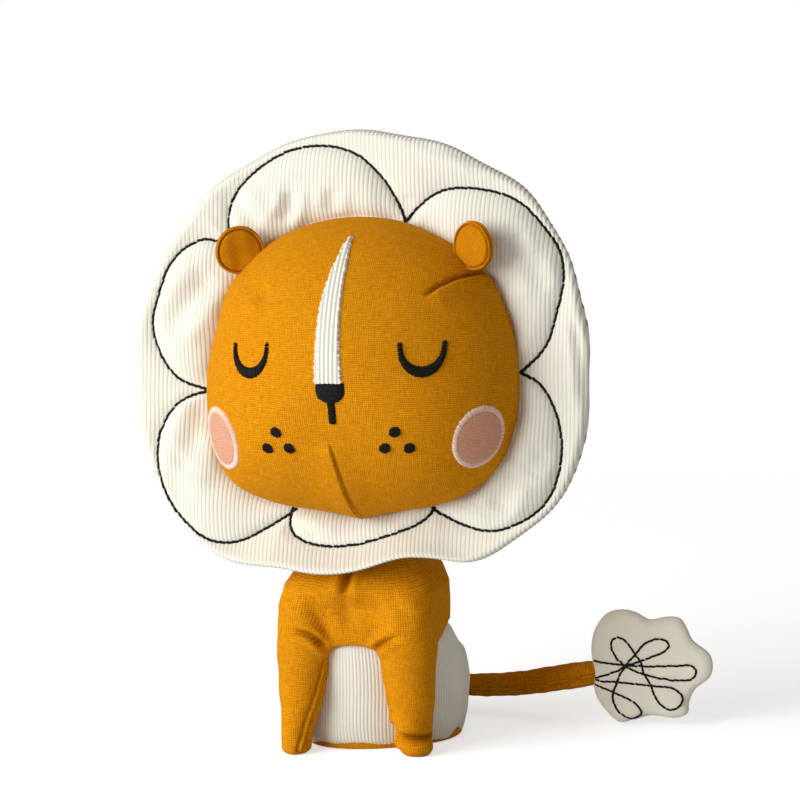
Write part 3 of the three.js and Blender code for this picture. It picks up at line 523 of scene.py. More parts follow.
def on_face(flat):
    """The cloth of the face behind points of the picture plane x, z."""
    flat = np.asarray(flat, float)
    start = np.stack([flat[:, 0], np.full(len(flat), -20.0), flat[:, 1]], -1)
    return onto_head(start, (0, -1, 0))


print("the nose stands", round(float(-on_face([(0, 0)])[0][0, 1]), 1), "mm in front of the mane seam")

# %% [markdown]
# ## Face and nape
# Both halves are grids of rings round the middle of the face or nape. The cloth coordinates follow the
# surface like meridians, so the weave keeps its size at the sides.

# %% Face and nape
# Painted shade along the chin and brow darts: a line, how dark the shade is and its width
FACE_CREASES = [(CHIN_DART, 0.45, 0.35), (BROW_DART[:4], 0.85, 0.4)]


def head_half(name, side, rings, around, replaced):
    """The face (side -1) or the nape (side 1), with its solids."""
    polar = np.linspace(0.0015, math.pi / 2 + 0.02, rings)
    p, a = np.meshgrid(polar, turns(around), indexing="ij")
    swell = head_swell(a)
    x = np.cos(a) * np.sin(p) * HEAD_HALF_WIDTH * swell
    z = np.sin(a) * np.sin(p) * HEAD_HALF_HEIGHT * swell
    y = side * np.cos(p) * (FACE_DEPTH if side < 0 else NAPE_DEPTH)
    points = np.stack([x, y, z], -1).reshape(-1, 3)
    normals = head_normal(points)
    points = points + normals * head_dent(points)[:, None]
    across = HEAD_HALF_WIDTH * np.arcsin(np.clip(np.cos(a) * np.sin(p), -1, 1)).ravel()
    along = HEAD_HALF_HEIGHT * np.arcsin(np.clip(np.sin(a) * np.sin(p), -1, 1)).ravel()
    mesh = cloth_mesh(name, to_world(points), grid_faces(rings, around), on_cloth(across, along, side * 7.0))
    if side < 0:
        shade_creases(mesh, points[:, [0, 2]], np.ones(len(points)), FACE_CREASES)
    sew(name, mesh, mustard_cloth, "head", replaced)


head_half("face", -1, 190, 520, ["face_panel", "head_stuffing"])
head_half("nape", 1, 60, 200, ["back_head_panel"])

# %% [markdown]
# ## Satin stitch
# The eyes, nose, mouth, whisker dots and cheek borders are satin stitch: threads laid side by side from
# one edge of a shape to the other, over a little padding. Here each thread is a thin tube that rises out
# of the cloth, crosses the shape and dips back in.

# %% A bundle of threads
THREAD_SIDES, THREAD_STEPS, SATIN_JITTER = 6, 9, 0.05
rng = np.random.default_rng(7)


def thread_tubes(paths, normals, radius):
    """Round threads along paths of equal length: (threads, steps, 3)."""
    paths, normals = np.asarray(paths, float), np.asarray(normals, float)
    count, steps, _ = paths.shape
    ahead = unit(np.gradient(paths, axis=1))
    beside = unit(np.cross(ahead, normals))
    above = np.cross(beside, ahead)
    turn = turns(THREAD_SIDES)[:, None, None, None]
    ring = np.cos(turn) * beside + np.sin(turn) * above
    points = np.moveaxis(paths + ring * np.broadcast_to(radius, (count, steps))[..., None], 0, 2)
    one = grid_faces(steps, THREAD_SIDES)
    faces = (one[None] + (np.arange(count) * steps * THREAD_SIDES)[:, None, None]).reshape(-1, 4)
    return points.reshape(-1, 3), faces


def thread_place(count, apart, length):
    """Cloth places for a bundle of threads, each one on a patch of thread of its own."""
    turn = np.repeat(np.arange(count), THREAD_STEPS * THREAD_SIDES) * apart
    reach = np.tile(np.repeat(np.linspace(0, 1, THREAD_STEPS) * length, THREAD_SIDES), count)
    return on_cloth(turn, reach)


def satin(name, starts, ends, lay, node, finish=black_thread, rise=0.55, radius=0.24):
    """Threads from the starts to the ends, flat points that `lay` puts on the head's cloth."""
    starts, ends = np.asarray(starts, float), np.asarray(ends, float)
    jitter = rng.normal(0, SATIN_JITTER, (len(starts), 2))
    along = np.linspace(0, 1, THREAD_STEPS)
    flat = starts[:, None] * (1 - along)[None, :, None] + ends[:, None] * along[None, :, None]
    flat = flat + jitter[:, None]
    ground, normals = lay(flat.reshape(-1, 2))
    shape = (len(starts), THREAD_STEPS, 3)
    ground, normals = ground.reshape(shape), normals.reshape(shape)
    width = np.linalg.norm(ends - starts, axis=1)
    arch = (1 - (2 * along - 1) ** 2) ** 0.45
    height = -0.15 + np.minimum(rise, 0.35 + 0.2 * width)[:, None] * arch
    paths = ground + normals * height[..., None]
    points, faces = thread_tubes(paths, normals, radius * (0.85 + 0.15 * arch))
    mesh = cloth_mesh(name, to_world(points), faces, thread_place(len(starts), 3.7, 4))
    sew(name, mesh, finish, "head", [node])


FACE_SIDE, FACE_TILT = 1.0, math.radians(2.5)


def face_place(x, z):
    """A point of the drawn face, which sits a little aside and askew on the head."""
    x, z = np.asarray(x, float), np.asarray(z, float)
    c, s = math.cos(FACE_TILT), math.sin(FACE_TILT)
    return np.stack([FACE_SIDE + x * c - z * s, x * s + z * c], -1)


print("one thread has", THREAD_STEPS * THREAD_SIDES, "points")

# %% [markdown]
# ## Closed eyes, nose and mouth
# Each eye is a crescent, thick at the bottom and thin at its tips, with threads that cross it. The nose
# is a block with round lower corners and a flat top against the blaze, and the mouth is one short line.

# %% Eyes, nose, mouth and whisker dots
def arc_between(half_width, drop, share):
    """A point of a hanging arc, as a cubic curve between two tips at the same height."""
    lip, rest = drop * 4 / 3, 1 - share
    side = half_width * (3 * rest**2 * share + rest**3 - share**3 - 3 * rest * share**2)
    return -side, -lip * 3 * rest * share


def crescent(middle_x, middle_z, half_width, drop, thick, tip):
    """Both edges of a closed eye, thread by thread, with round tips."""
    share = np.linspace(-0.035, 1.035, 62)
    inside = np.clip(share, 0, 1)
    outer_x, outer_z = arc_between(half_width, drop, inside)
    inner_x, inner_z = arc_between(half_width - tip, drop - thick, inside)
    over = np.clip(np.maximum(-share, share - 1) / 0.035, 0, 1)
    lift = 0.9 * over
    pinch = 0.5 * (1 - np.sqrt(1 - over**2))
    start = np.stack([outer_x + (inner_x - outer_x) * pinch, outer_z + lift], -1)
    end = np.stack([inner_x + (outer_x - inner_x) * pinch, inner_z + lift], -1)
    return [face_place(edge[:, 0] + middle_x, edge[:, 1] + middle_z) for edge in (start, end)]


SIDES = (("left", 1), ("right", -1))
EYE_X, EYE_Z, EYE_HALF_WIDTH, EYE_DROP, EYE_THICK, EYE_TIP = 24.4, 7.2, 6.1, 8.9, 2.85, 1.15
DOTS = (("upper", 16.7, -16.4), ("outer", 19.9, -20.9), ("inner", 13.5, -20.9))
DOT_RADIUS, DOT_REACH, DOT_LEAN = 1.42, 1.2, 0.2
NOSE_TOP, NOSE_ROUND, NOSE_BOTTOM, NOSE_HALF_WIDTH = -3.0, -4.9, -8.0, 3.95
MOUTH_END, MOUTH_HALF_WIDTH, MOUTH_TIP_HALF_WIDTH = -13.9, 0.98, 0.8
for side_name, sign in SIDES:
    starts, ends = crescent(sign * EYE_X, EYE_Z, EYE_HALF_WIDTH, EYE_DROP, EYE_THICK, EYE_TIP)
    satin(f"eye_{side_name}_stitches", starts, ends, on_face, f"eye_{side_name}", rise=0.75)
    for dot, x, z in DOTS:
        name = f"whisker_dot_{side_name}_{dot}"
        across = np.linspace(-1, 1, 8) * DOT_REACH
        chord = np.sqrt(DOT_RADIUS**2 - across**2)
        starts, ends = (
            face_place(sign * (x + DOT_LEAN * reach) + across, z + reach) for reach in (chord, -chord))
        satin(f"{name}_stitches", starts, ends, on_face, name, rise=0.6)

NOSE_THREADS, MOUTH_THREADS = 15, 17
levels = np.linspace(NOSE_TOP, NOSE_BOTTOM, NOSE_THREADS)
drop_share = np.clip((NOSE_ROUND - levels) / 3.2, 0, 1)
half = NOSE_HALF_WIDTH * np.sqrt(np.clip(1 - drop_share**2.4, 0, 1)) + 0.15
satin("nose_stitches", face_place(-half, levels), face_place(half, levels), on_face, "nose",
      rise=0.8, radius=0.26)
levels = np.linspace(NOSE_BOTTOM, MOUTH_END, MOUTH_THREADS)
half = np.where(levels > MOUTH_END + 0.3, MOUTH_HALF_WIDTH, MOUTH_TIP_HALF_WIDTH)
satin("mouth_stitches", face_place(-half, levels), face_place(half, levels), on_face, "mouth_stitch",
      rise=0.6)

# %% [markdown]
# ## Cheeks
# Each cheek is a small woven disc, laid on the widest part of the head and held by a ring of satin
# stitch. It faces outwards there, so its threads are laid from a plane that is turned with the cheek.

# %% Cheeks
CHEEK_RADIUS, CHEEK_BORDER = 8.9, 1.45
CHEEK_X, CHEEK_Z, CHEEK_TURN, CHEEK_DIP = 37.2, -19.4, math.radians(56), math.radians(25)
CHEEK_LIFT, CHEEK_THREADS, CHEEK_RINGS, CHEEK_AROUND = 0.4, 112, 26, 72


def cheek_lay(sign):
    """Lays flat points on the cheek, from a plane that looks the way the cheek faces."""
    look = Matrix.Rotation(CHEEK_TURN * sign, 3, "Z") @ Matrix.Rotation(CHEEK_DIP, 3, "X")
    across, outward, up = (np.array(look @ Vector(way)) for way in ((1, 0, 0), (0, -1, 0), (0, 0, 1)))
    x, z = face_place(sign * CHEEK_X, CHEEK_Z)
    middle = onto_head([(x, -20.0, z)], (0, -1, 0))[0][0] + outward * 2

    def lay(flat):
        flat = np.asarray(flat, float)
        return onto_head(middle + flat[:, :1] * across + flat[:, 1:] * up, outward)
    return lay


for side_name, sign in SIDES:
    lay = cheek_lay(sign)
    turn = turns(CHEEK_THREADS)
    ring = np.stack([np.cos(turn), np.sin(turn)], -1)
    inner = CHEEK_RADIUS - CHEEK_BORDER
    satin(f"cheek_border_{side_name}_stitches", ring * inner, ring * CHEEK_RADIUS, lay,
          f"cheek_border_{side_name}", pink_thread, rise=0.5)
    r, a = np.meshgrid(np.linspace(0.01, inner + 0.3, CHEEK_RINGS), turns(CHEEK_AROUND), indexing="ij")
    flat = np.stack([(r * np.cos(a)).ravel(), (r * np.sin(a)).ravel()], -1)
    ground, normals = lay(flat)
    lift = CHEEK_LIFT - 0.45 * np.clip((r.ravel() - inner + 0.2) / 0.5, 0, 1)
    points = ground + normals * lift[:, None]
    faces = grid_faces(CHEEK_RINGS, CHEEK_AROUND)
    mesh = cloth_mesh(f"cheek_{side_name}", to_world(points), faces, on_cloth(*flat.T))
    sew(f"cheek_{side_name}", mesh, cheek_cloth, "head", [f"cheek_patch_{side_name}"])

# %% [markdown]
# ## Blaze
# The blaze is a tapered strip of the mane's corduroy, with about six wales along it and edges that were
# cut through the ribs, so they are a little ragged.

# %% Blaze
BLAZE_LEVELS = [-3.4, 2, 8, 16.4, 22, 27.6, 32.2, 35.0, 36.6]
BLAZE_LEFT = [-3.2, -3.35, -3.3, -3.1, -2.5, -1.55, -0.6, 0.0, 0.5]
BLAZE_RIGHT = [4.7, 4.3, 3.75, 3.2, 2.95, 2.75, 2.3, 1.9, 1.6]
# The middle wale's place at the foot and the tip of the strip
BLAZE_WALE = [(-3.4, 1.9), (36.2, 0.9)]
BLAZE_THICKNESS, BLAZE_RIB = 1.0, 0.1
levels = np.linspace(BLAZE_LEVELS[0], BLAZE_LEVELS[-1], 190)
across = np.linspace(0, 1, 61)
ragged = 0.2 * np.sin(levels * 5.3 + np.sin(levels * 1.7) * 2)[None]
ragged = ragged + 0.09 * rng.normal(0, 1, (2, len(levels)))
left = np.interp(levels, BLAZE_LEVELS, BLAZE_LEFT) - ragged[0]
right = np.interp(levels, BLAZE_LEVELS, BLAZE_RIGHT) + ragged[1]
x = left[:, None] + (right - left)[:, None] * across
ground, normals = on_face(np.stack([x.ravel(), np.repeat(levels, len(across))], -1))
axis_x = np.interp(levels, *zip(*BLAZE_WALE))
wale_place = x - axis_x[:, None]
edge = np.minimum(across, 1 - across) * (right - left)[:, None]
end = np.minimum(levels - levels[0], levels[-1] - levels)[:, None]
lift = -0.25 + BLAZE_THICKNESS * np.clip(np.minimum(edge, end) / 0.55, 0, 1) ** 0.5
lift = lift + BLAZE_RIB * np.cos(wale_place * 2 * math.pi / WALE_PITCH) * np.clip(edge / 0.5, 0, 1)
points = ground + normals * lift.ravel()[:, None]
place = on_cloth(wale_place.ravel(), np.repeat(levels, len(across)), 3.0)
mesh = cloth_mesh("blaze_strip", to_world(points), grid_faces(len(levels), len(across), closed=False), place)
sew("blaze_strip", mesh, cream_cord, "head", ["blaze"])

# %% [markdown]
# ## Mane
# The mane is a wide ring of corduroy, front and back layer, with wadding between. A line of black
# stitches runs through it in six scallops and pulls both layers together, so the cloth rises in soft
# pads between the stitches, the head seam and the outer edge. The lower edge bends forwards over the
# chest. The height of the pads comes from the distance to those three lines.

# %% The mane's form
MANE_HALF_WIDTH, MANE_HALF_HEIGHT, MANE_RISE = 65.0, 61.8, 3.7
MANE_SHARES = [1, 1.005, 1.015, 1.03, 1.005, 1, 1, 0.995, 1, 0.995, 0.99, 1,
               1.035, 1.052, 1.105, 1.135, 1.12, 1.03, 0.99, 0.945, 1.045, 1.088, 1.075, 1.038]
# Each scallop from its root on the head seam: turn in degrees and share of the way outwards
SCALLOPS = [
    [(74, 0.0), (80, 0.28), (87, 0.56), (94, 0.75), (104, 0.88), (118, 0.89), (129, 0.76), (137, 0.47),
     (141, 0.0)],
    [(139, 0.0), (142.5, 0.52), (148, 0.75), (157, 0.87), (168, 0.85), (175, 0.8), (182, 0.66),
     (188, 0.43), (192, 0.0)],
    [(192, 0.0), (195.5, 0.4), (202, 0.69), (209, 0.86), (217, 0.94), (226, 0.95), (233, 0.89),
     (238.5, 0.72), (242.5, 0.42), (247.5, 0.0)],
    [(246, 0.0), (248.5, 0.3), (252.5, 0.49), (259, 0.56), (268, 0.55), (277, 0.51), (285, 0.44),
     (292, 0.26), (298.5, 0.0)],
    [(297, 0.0), (303, 0.4), (308.5, 0.7), (315, 0.84), (323, 0.87), (332.5, 0.78), (341, 0.65),
     (349, 0.47), (355, 0.28), (359.5, 0.0)],
    [(359.5, 0.0), (366, 0.38), (373.5, 0.6), (382, 0.84), (390, 0.93), (401, 0.89), (411, 0.79),
     (419, 0.67), (425.5, 0.5), (430, 0.28), (434, 0.0)],
]
# Waves in the outer edge: their turn and width in degrees and how far the edge stands out there
EDGE_WAVES = [(38, 9, -0.6), (52, 9, 0.5), (-58, 7, 0.6), (-66, 5, -0.6), (128, 10, -0.4)]
# Soft valleys in the pads: a line in the mane's own plane, its depth and its width
MANE_FOLDS = [
    ([(-43.5, 24.5), (-50.5, 15.5), (-57, 7)], 1.5, 3.4),
    ([(-46, -10.5), (-47.8, -19.5), (-49, -27)], 1.35, 3.2),
    ([(-49.5, -28), (-53, -34.5), (-49.5, -41)], 1.2, 3.6),
    ([(-23.5, 39), (-21, 43.4), (-20.5, 48.5)], 1.2, 2.0),
    ([(-9, 42.5), (-8, 49)], 0.7, 2.0),
    ([(12, 43), (13.5, 48)], 0.6, 2.2),
    ([(46.5, -27.5), (43, -31.4), (40.5, -39)], 1.4, 3.0),
    ([(54, -21), (50, -29)], 0.7, 2.6),
    ([(15, 62.4), (25.5, 60.4), (34, 56.5)], 0.8, 1.6),
    ([(61.6, 15), (63.5, 4), (64.5, -9)], 0.9, 1.5),
    ([(43.5, 38), (46, 31)], 0.9, 2.2),
    ([(49, 30.5), (53, 22)], 0.7, 2.4),
    ([(-20, -45.5), (-10, -49)], 0.6, 2.0),
    ([(-30, 36), (-34, 42), (-40, 47)], 0.9, 2.4),
]
# Half the thickness of the flat sheet, of the pad outside the scallops and what the pads inside add
SHEET_PAD, OUTER_PAD, INNER_PAD = 1.3, 2.1, 1.7
STITCH_PULL, SEAM_PULL, EDGE_ROUND, LEAST_PAD = 3.2, 3.0, 2.4, 0.9
MANE_FLAP, MANE_RIPPLE = 12, 0.9
# Gathers at the head seam: how many, where they start, how the back differs, height, reach, room to a stitch
GATHERS = [(9, 0.7, 1, 0.55, 9, 5), (23, 0, 2, 0.35, 6, 4)]


def mane_edges(angle):
    """The head seam and the outer edge at each angle, in the mane's own plane."""
    inside, outside = head_swell(angle), shares_round(MANE_SHARES, angle)
    inner = np.stack([HEAD_HALF_WIDTH * inside * np.cos(angle),
                      HEAD_HALF_HEIGHT * inside * np.sin(angle)], -1)
    wave = sum(depth * bump_at((np.degrees(angle) - middle + 540) % 360 - 180, 0, width)
               for middle, width, depth in EDGE_WAVES)
    wave = wave + 0.3 * np.sin(angle * 11 + 1) + 0.2 * np.sin(angle * 17)
    outer = np.stack([(MANE_HALF_WIDTH * outside + wave) * np.cos(angle),
                      MANE_RISE + (MANE_HALF_HEIGHT * outside + wave) * np.sin(angle)], -1)
    return inner, outer


def mane_flat(angle, share):
    """The point at a share of the way from the head seam to the edge."""
    inner, outer = mane_edges(angle)
    return inner + (outer - inner) * share[..., None]


scallop_lines = [smooth_curve(row, 260) for row in SCALLOPS]
scallop_around = np.concatenate(scallop_lines)
order = np.argsort(scallop_around[:, 0] % 360)
wrap_turns, wrap_shares = scallop_around[order, 0] % 360, scallop_around[order, 1]


def scallop_share(angle):
    """How far out the stitched line runs at each angle."""
    turn = np.degrees(angle) % 360
    return np.interp(turn, np.r_[wrap_turns[-1] - 360, wrap_turns, wrap_turns[0] + 360],
                     np.r_[wrap_shares[-1], wrap_shares, wrap_shares[0]])


scallop_flat = mane_flat(np.radians(scallop_around[:, 0]), scallop_around[:, 1])


def mane_height(angle, share, flat, side):
    """Half thickness of the mane at each point, from the middle of the wadding to the cloth."""
    inner, outer = mane_edges(angle)
    width = np.linalg.norm(outer - inner, axis=-1)
    to_seam, to_edge = share * width, (1 - share) * width
    to_stitch = gaps_to(on_cloth(*flat.T), on_cloth(*scallop_flat.T))
    inside = np.clip((scallop_share(angle) - share) * width / 3 + 0.5, 0, 1)
    pad = OUTER_PAD + INNER_PAD * inside
    rise = pad * (1 - np.exp(-to_stitch / STITCH_PULL)) * (1 - np.exp(-np.maximum(to_seam, 0) / SEAM_PULL))
    folds = sum(
        height * np.sin(angle * count + start + shift * side) * np.exp(-to_seam / reach)
        * np.clip(to_stitch / room, 0, 1) for count, start, shift, height, reach, room in GATHERS)
    for line, depth, wide in MANE_FOLDS:
        gap, _, along = away_from(flat, smooth_curve(line, 12))
        fade = np.clip(np.minimum(along, 1 - along) * 4 + 0.25, 0, 1) * np.clip(to_stitch / 2.5, 0, 1)
        valley = bump_at(gap, 0, wide) - 0.45 * bump_at(gap, 1.9 * wide, 0.8 * wide)
        folds = folds - np.clip(-side, 0.5, 1) * depth * fade * valley
    height = np.maximum(SHEET_PAD + rise + folds, LEAST_PAD)
    round_off = np.sqrt(np.clip(1 - (1 - np.clip(to_edge / EDGE_ROUND, 0, 1)) ** 2, 0, 1))
    return height * round_off


def mane_lift(angle, share):
    """How far the middle of the mane bends forwards from its plane."""
    flap = MANE_FLAP * np.maximum(0, -np.sin(angle)) ** 5 * np.clip(share, 0, 1) ** 2
    ripple = MANE_RIPPLE * np.sin(angle * 5 + 0.8) * np.clip(share, 0, 1) ** 2
    return flap + ripple


def mane_layer(angle, share, side):
    """Points of the front or back layer, in the head's own frame."""
    flat = mane_flat(angle, share)
    height = mane_height(angle, share, flat, side)
    depth = side * height - mane_lift(angle, share)
    return np.stack([flat[:, 0], depth, flat[:, 1]], -1)


scallop_length = np.linalg.norm(np.diff(scallop_flat, axis=0), axis=1).sum()
print("the scallops are", round(float(scallop_length)), "mm long")

# %% [markdown]
# The wales run straight up and down over the whole mane. They are laid on each layer as real ribs, so
# the layers need a fine grid: about four points to a wale.

# %% The mane's layers
MANE_AROUND, MANE_RINGS = ((1180, 84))
RIB_HEIGHT = 0.04


def ribbed(points, wale_place, rows, columns, height):
    """Lifts a closed grid of points by its wales."""
    grid = points.reshape(rows, columns, 3)
    beside = np.roll(grid, -1, 1) - np.roll(grid, 1, 1)
    normals = unit(np.cross(np.gradient(grid, axis=0), beside)).reshape(-1, 3)
    return points + normals * (height * np.cos(wale_place * 2 * math.pi / WALE_PITCH))[:, None]


def mane_piece(name, side, replaced):
    """One layer of the mane, with its rings closer together towards the edge."""
    share = np.linspace(-0.03, 1, MANE_RINGS)
    share = np.where(share > 0.9, 1 - (1 - share) ** 1.25 / 0.1**0.25, share)
    s, a = (part.ravel() for part in np.meshgrid(share, turns(MANE_AROUND), indexing="ij"))
    points = mane_layer(a, s, side)
    wale_place = points[:, 0] + 0.2 * np.sin(points[:, 2] / 9) - 0.27 * mane_lift(a, s)
    place = on_cloth(wale_place, points[:, 2], side * 5.0)
    at_edge = np.clip((s - 0.93) / 0.06, 0, 1)
    points = ribbed(points, wale_place, MANE_RINGS, MANE_AROUND, RIB_HEIGHT * (1 + 2.2 * at_edge))
    mesh = cloth_mesh(name, to_world(points), grid_faces(MANE_RINGS, MANE_AROUND), place)
    sew(name, mesh, cream_cord, "head", replaced)


mane_piece("mane_front_cord", -1, ["mane_front", "mane_wadding"])
mane_piece("mane_back_cord", 1, ["mane_back"])

# %% [markdown]
# ## Scallop stitches
# The black line is a row of stitches 2 mm long with a hair's breadth between them. Each one is a short
# thread that dips into the cloth at both ends and lies slightly across the line.

# %% Scallop stitches
STITCH_LIFT, STITCH_UNEVEN, STITCH_WANDER, STITCH_TIP = 0.14, 0.06, 0.07, 0.72


def stitches_along(path, normals, length, gap, slant, depth):
    """Short threads along a path: their middle lines, the cloth's normals and how thick each point is."""
    path = np.asarray(path, float)
    normals = np.broadcast_to(np.asarray(normals, float), path.shape)
    walked = np.r_[0, np.cumsum(np.linalg.norm(np.diff(path, axis=0), axis=1))]
    count = max(1, int(round(walked[-1] / (length + gap))))
    pitch = walked[-1] / count
    uneven = rng.normal(0, STITCH_UNEVEN, count) * pitch
    starts = np.clip(np.arange(count) * pitch + uneven, 0, None)
    share = np.linspace(0, 1, THREAD_STEPS)
    at = starts[:, None] + share[None] * (pitch - gap)
    ground, up = (np.stack([np.interp(at, walked, values[:, axis]) for axis in range(3)], -1)
                  for values in (path, normals))
    up = unit(up)
    ahead = unit(np.gradient(ground, axis=1))
    beside = np.cross(ahead, up)
    arch = 1 - (2 * share - 1) ** 6
    wander = rng.normal(0, STITCH_WANDER, count)[:, None, None]
    lean = (slant * (2 * share - 1))[None, :, None] * beside
    lines = ground + lean + wander * beside + up * (STITCH_LIFT + depth * (arch - 0.7))[None, :, None]
    return lines, up, np.broadcast_to(STITCH_TIP + (1 - STITCH_TIP) * arch, (count, THREAD_STEPS))


def stitch_rows(name, paths, normals, length, gap, body, node, radius, slant, depth=0.35,
                finish=black_thread, place_by=np.asarray):
    """Rows of stitches as one piece. A row's normals are one for each point, or one for all.

    `place_by` takes the points to the toy's frame.
    """
    parts = [stitches_along(path, up, length, gap, slant, depth) for path, up in zip(paths, normals)]
    lines, up, thick = (np.concatenate(part) for part in zip(*parts))
    points, faces = thread_tubes(lines, up, radius * thick)
    mesh = cloth_mesh(name, place_by(points), faces, thread_place(len(lines), 5.3, length))
    sew(name, mesh, finish, body, [node])


LAYERS = (("front", -1), ("back", 1))
for layer, side in LAYERS:
    paths = [mane_layer(np.radians(line[:, 0]), line[:, 1], side) for line in scallop_lines]
    stitch_rows(f"mane_{layer}_stitches", paths, [(0, side, 0)] * len(paths), 1.9, 0.03, "head",
                f"mane_scallop_stitch_{layer}", radius=0.46, slant=0.14, depth=0.1, place_by=to_world)

# %% [markdown]
# ## Ears
# Each ear is two small rounds of cloth, turned and lightly filled, with the seam on the rim and a
# stitched line just inside it. It is caught in the head seam, leans forwards over it and is cupped a
# little towards the face.

# %% Ears
EAR_RADIUS, EAR_FOLD, EAR_CUP = 6.9, math.radians(25), math.radians(13)
# Half the ear's thickness, how far its middle and its hinge lie forwards, and its foot on the head
EAR_HALF_THICKNESS, EAR_MIDDLE, EAR_HINGE, EAR_FORWARD = 1.75, 1.5, 2.1, 5.9
EAR_STITCHES, EAR_GRID = 44, (130, 120)
# From the front's middle to the back's, in radians: the seam on the rim, the stitched line inside it, the
# dip between the two, and the width of seam and line
EAR_SEAM, EAR_LINE, EAR_LINE_EDGE, EAR_LINE_WIDTH = math.pi / 2 - 0.1, 0.98, 1.22, 0.075
# Each ear's place round the head and how much of it the seam hides
EAR_PLACES = {"left": (math.radians(45.3), 1.2), "right": (math.radians(43), 2.8)}


def ear_piece(side_name, sign):
    """A round pillow, cupped, folded forwards and leaned outwards round the head."""
    turn, overlap = EAR_PLACES[side_name]
    foot = math.hypot(HEAD_HALF_WIDTH * math.cos(turn), HEAD_HALF_HEIGHT * math.sin(turn))
    foot *= float(head_swell(turn if sign > 0 else math.pi - turn))
    lean = sign * (math.pi / 2 - turn)
    p, a = ball_grid(*EAR_GRID, 0.01)
    seam = bump_at(p, EAR_SEAM, EAR_LINE_WIDTH)
    stitches = 0.5 + 0.5 * np.sin(a * EAR_STITCHES)
    r = np.sin(p) ** 0.82 * (1 - (0.075 + 0.03 * stitches) * seam)
    r = r * (1 + 0.012 * np.sin(a * 3 + sign) + 0.008 * np.sin(a * 5))
    x, z = EAR_RADIUS * r * np.cos(a), EAR_RADIUS * r * np.sin(a) + EAR_RADIUS - overlap
    puff = np.sign(np.cos(p)) * np.abs(np.cos(p)) ** 0.8
    y = -EAR_MIDDLE - EAR_HALF_THICKNESS * puff
    raised = (0.6 + 0.3 * stitches) * bump_at(p, EAR_LINE, EAR_LINE_WIDTH)
    y = y + raised - 0.35 * bump_at(p, EAR_LINE_EDGE, 0.12)
    y = y + 0.35 * bump_at(r, 0.0, 0.55) * puff + 0.16 * np.sin(x * 0.9 + sign) * np.sin(z * 0.8 + 1)
    z = np.maximum(z, -1.6 + 0.15 * z)
    y = y - 0.5 * bump_at(z, -1, 2) * np.cos(x / 3)
    local = np.stack([x, y + EAR_MIDDLE, z], -1).reshape(-1, 3)
    cup, fold, aside = (
        np.array(Matrix.Rotation(amount, 3, axis)).T
        for amount, axis in ((-sign * EAR_CUP, "Z"), (EAR_FOLD, "X"), (lean, "Y")))
    local = local @ cup - (0, EAR_HINGE, 0)
    points = local @ fold @ aside + (foot * math.sin(lean), -EAR_FORWARD, foot * math.cos(lean))
    place = np.stack([x.ravel(), z.ravel(), y.ravel()], -1)
    mesh = cloth_mesh(f"ear_{side_name}", to_world(points), grid_faces(*EAR_GRID), place)
    sew(f"ear_{side_name}_cloth", mesh, shaded_ear_cloth, f"ear_{side_name}",
        [f"ear_{side_name}_front", f"ear_{side_name}_back"])


for side_name, sign in SIDES:
    ear_piece(side_name, sign)

# %% [markdown]
# ## Chest and front legs
# The chest and the front legs are cut in one, like a romper: there is no seam at the shoulders, only
# folds that run up from the arch between the legs. The form is written as a field: a number for every
# point in space that is 0 on the skin. The chest is a round-cornered column, each leg is a tapering tube,
# and a soft minimum melts the three together with a wide fillet.

# %% The forms of chest and legs
# Height, middle from front to back, half width, half depth
CHEST_ROWS = [(20, 0.5, 22, 19.5), (34, -3.2, 22, 20.2), (42, -4.2, 22.5, 18.6), (47, -6.2, 22.8, 19.6),
              (51, -4, 20.5, 16.8), (56, -2.2, 17, 12.4), (60.5, -1.5, 13.4, 11.6)]
CHEST_SQUARE, CHEST_TOP, CHEST_SCALE = 2.5, 58, 17
LEG_TOP, LEG_TOP_RADIUS = 40.0, 7.2
LEG_ASIDE, LEG_FORWARD, PAW_ASIDE, PAW_TWIST = 15.1, 18.6, 1.2, 16.3
# Height, share of the way from the shoulder's line to the paw's, half width, half depth
LEG_ROWS = [(0, 1, 3.9, 4.8), (1.2, 1, 4.6, 5.7), (6, 0.85, 5.0, 6.2), (11, 0.6, 5.8, 6.5),
            (16, 0.4, 6.8, 6.7), (23, 0.2, 7.5, 7.1), (30, 0.1, 7.9, 7.4), (40, 0, 7.0, 7.2)]
RIGHT_PAW_SHARE, HEM_TAPER = 0.87, 1.9
HAUNCH_HEIGHT, HAUNCH_MIDDLE, HAUNCH_LEAN, HAUNCH_HALF_WIDTH, HAUNCH_HALF_DEPTH = 42, 8, 11.5, 26.2, 27
# Shares of the haunches' height, half width, half depth and lean
HAUNCH_ROWS = [(0, 0.88, 0.87, 0), (0.06, 0.90, 0.955, 0), (0.16, 0.93, 0.99, 0), (0.38, 0.95, 1, 0),
               (0.6, 0.935, 0.95, 0.22), (0.8, 0.865, 0.84, 0.6), (1, 0.80, 0.64, 1)]
FRONT_TWIST = math.tan(math.radians(15.5))
SEAM_HEIGHT, SEAM_REACH, SEAM_SLOPE = 34.5, 5.0, math.tan(math.radians(13))
SEAM_LEVEL_RISE, ARCH_RISE, ARCH_WIDTH = 0.5, 1.1, 6.5
SEAM_DIP, SEAM_DIP_REACH, SEAM_DIP_WIDTH = 2.8, -6, 6.5


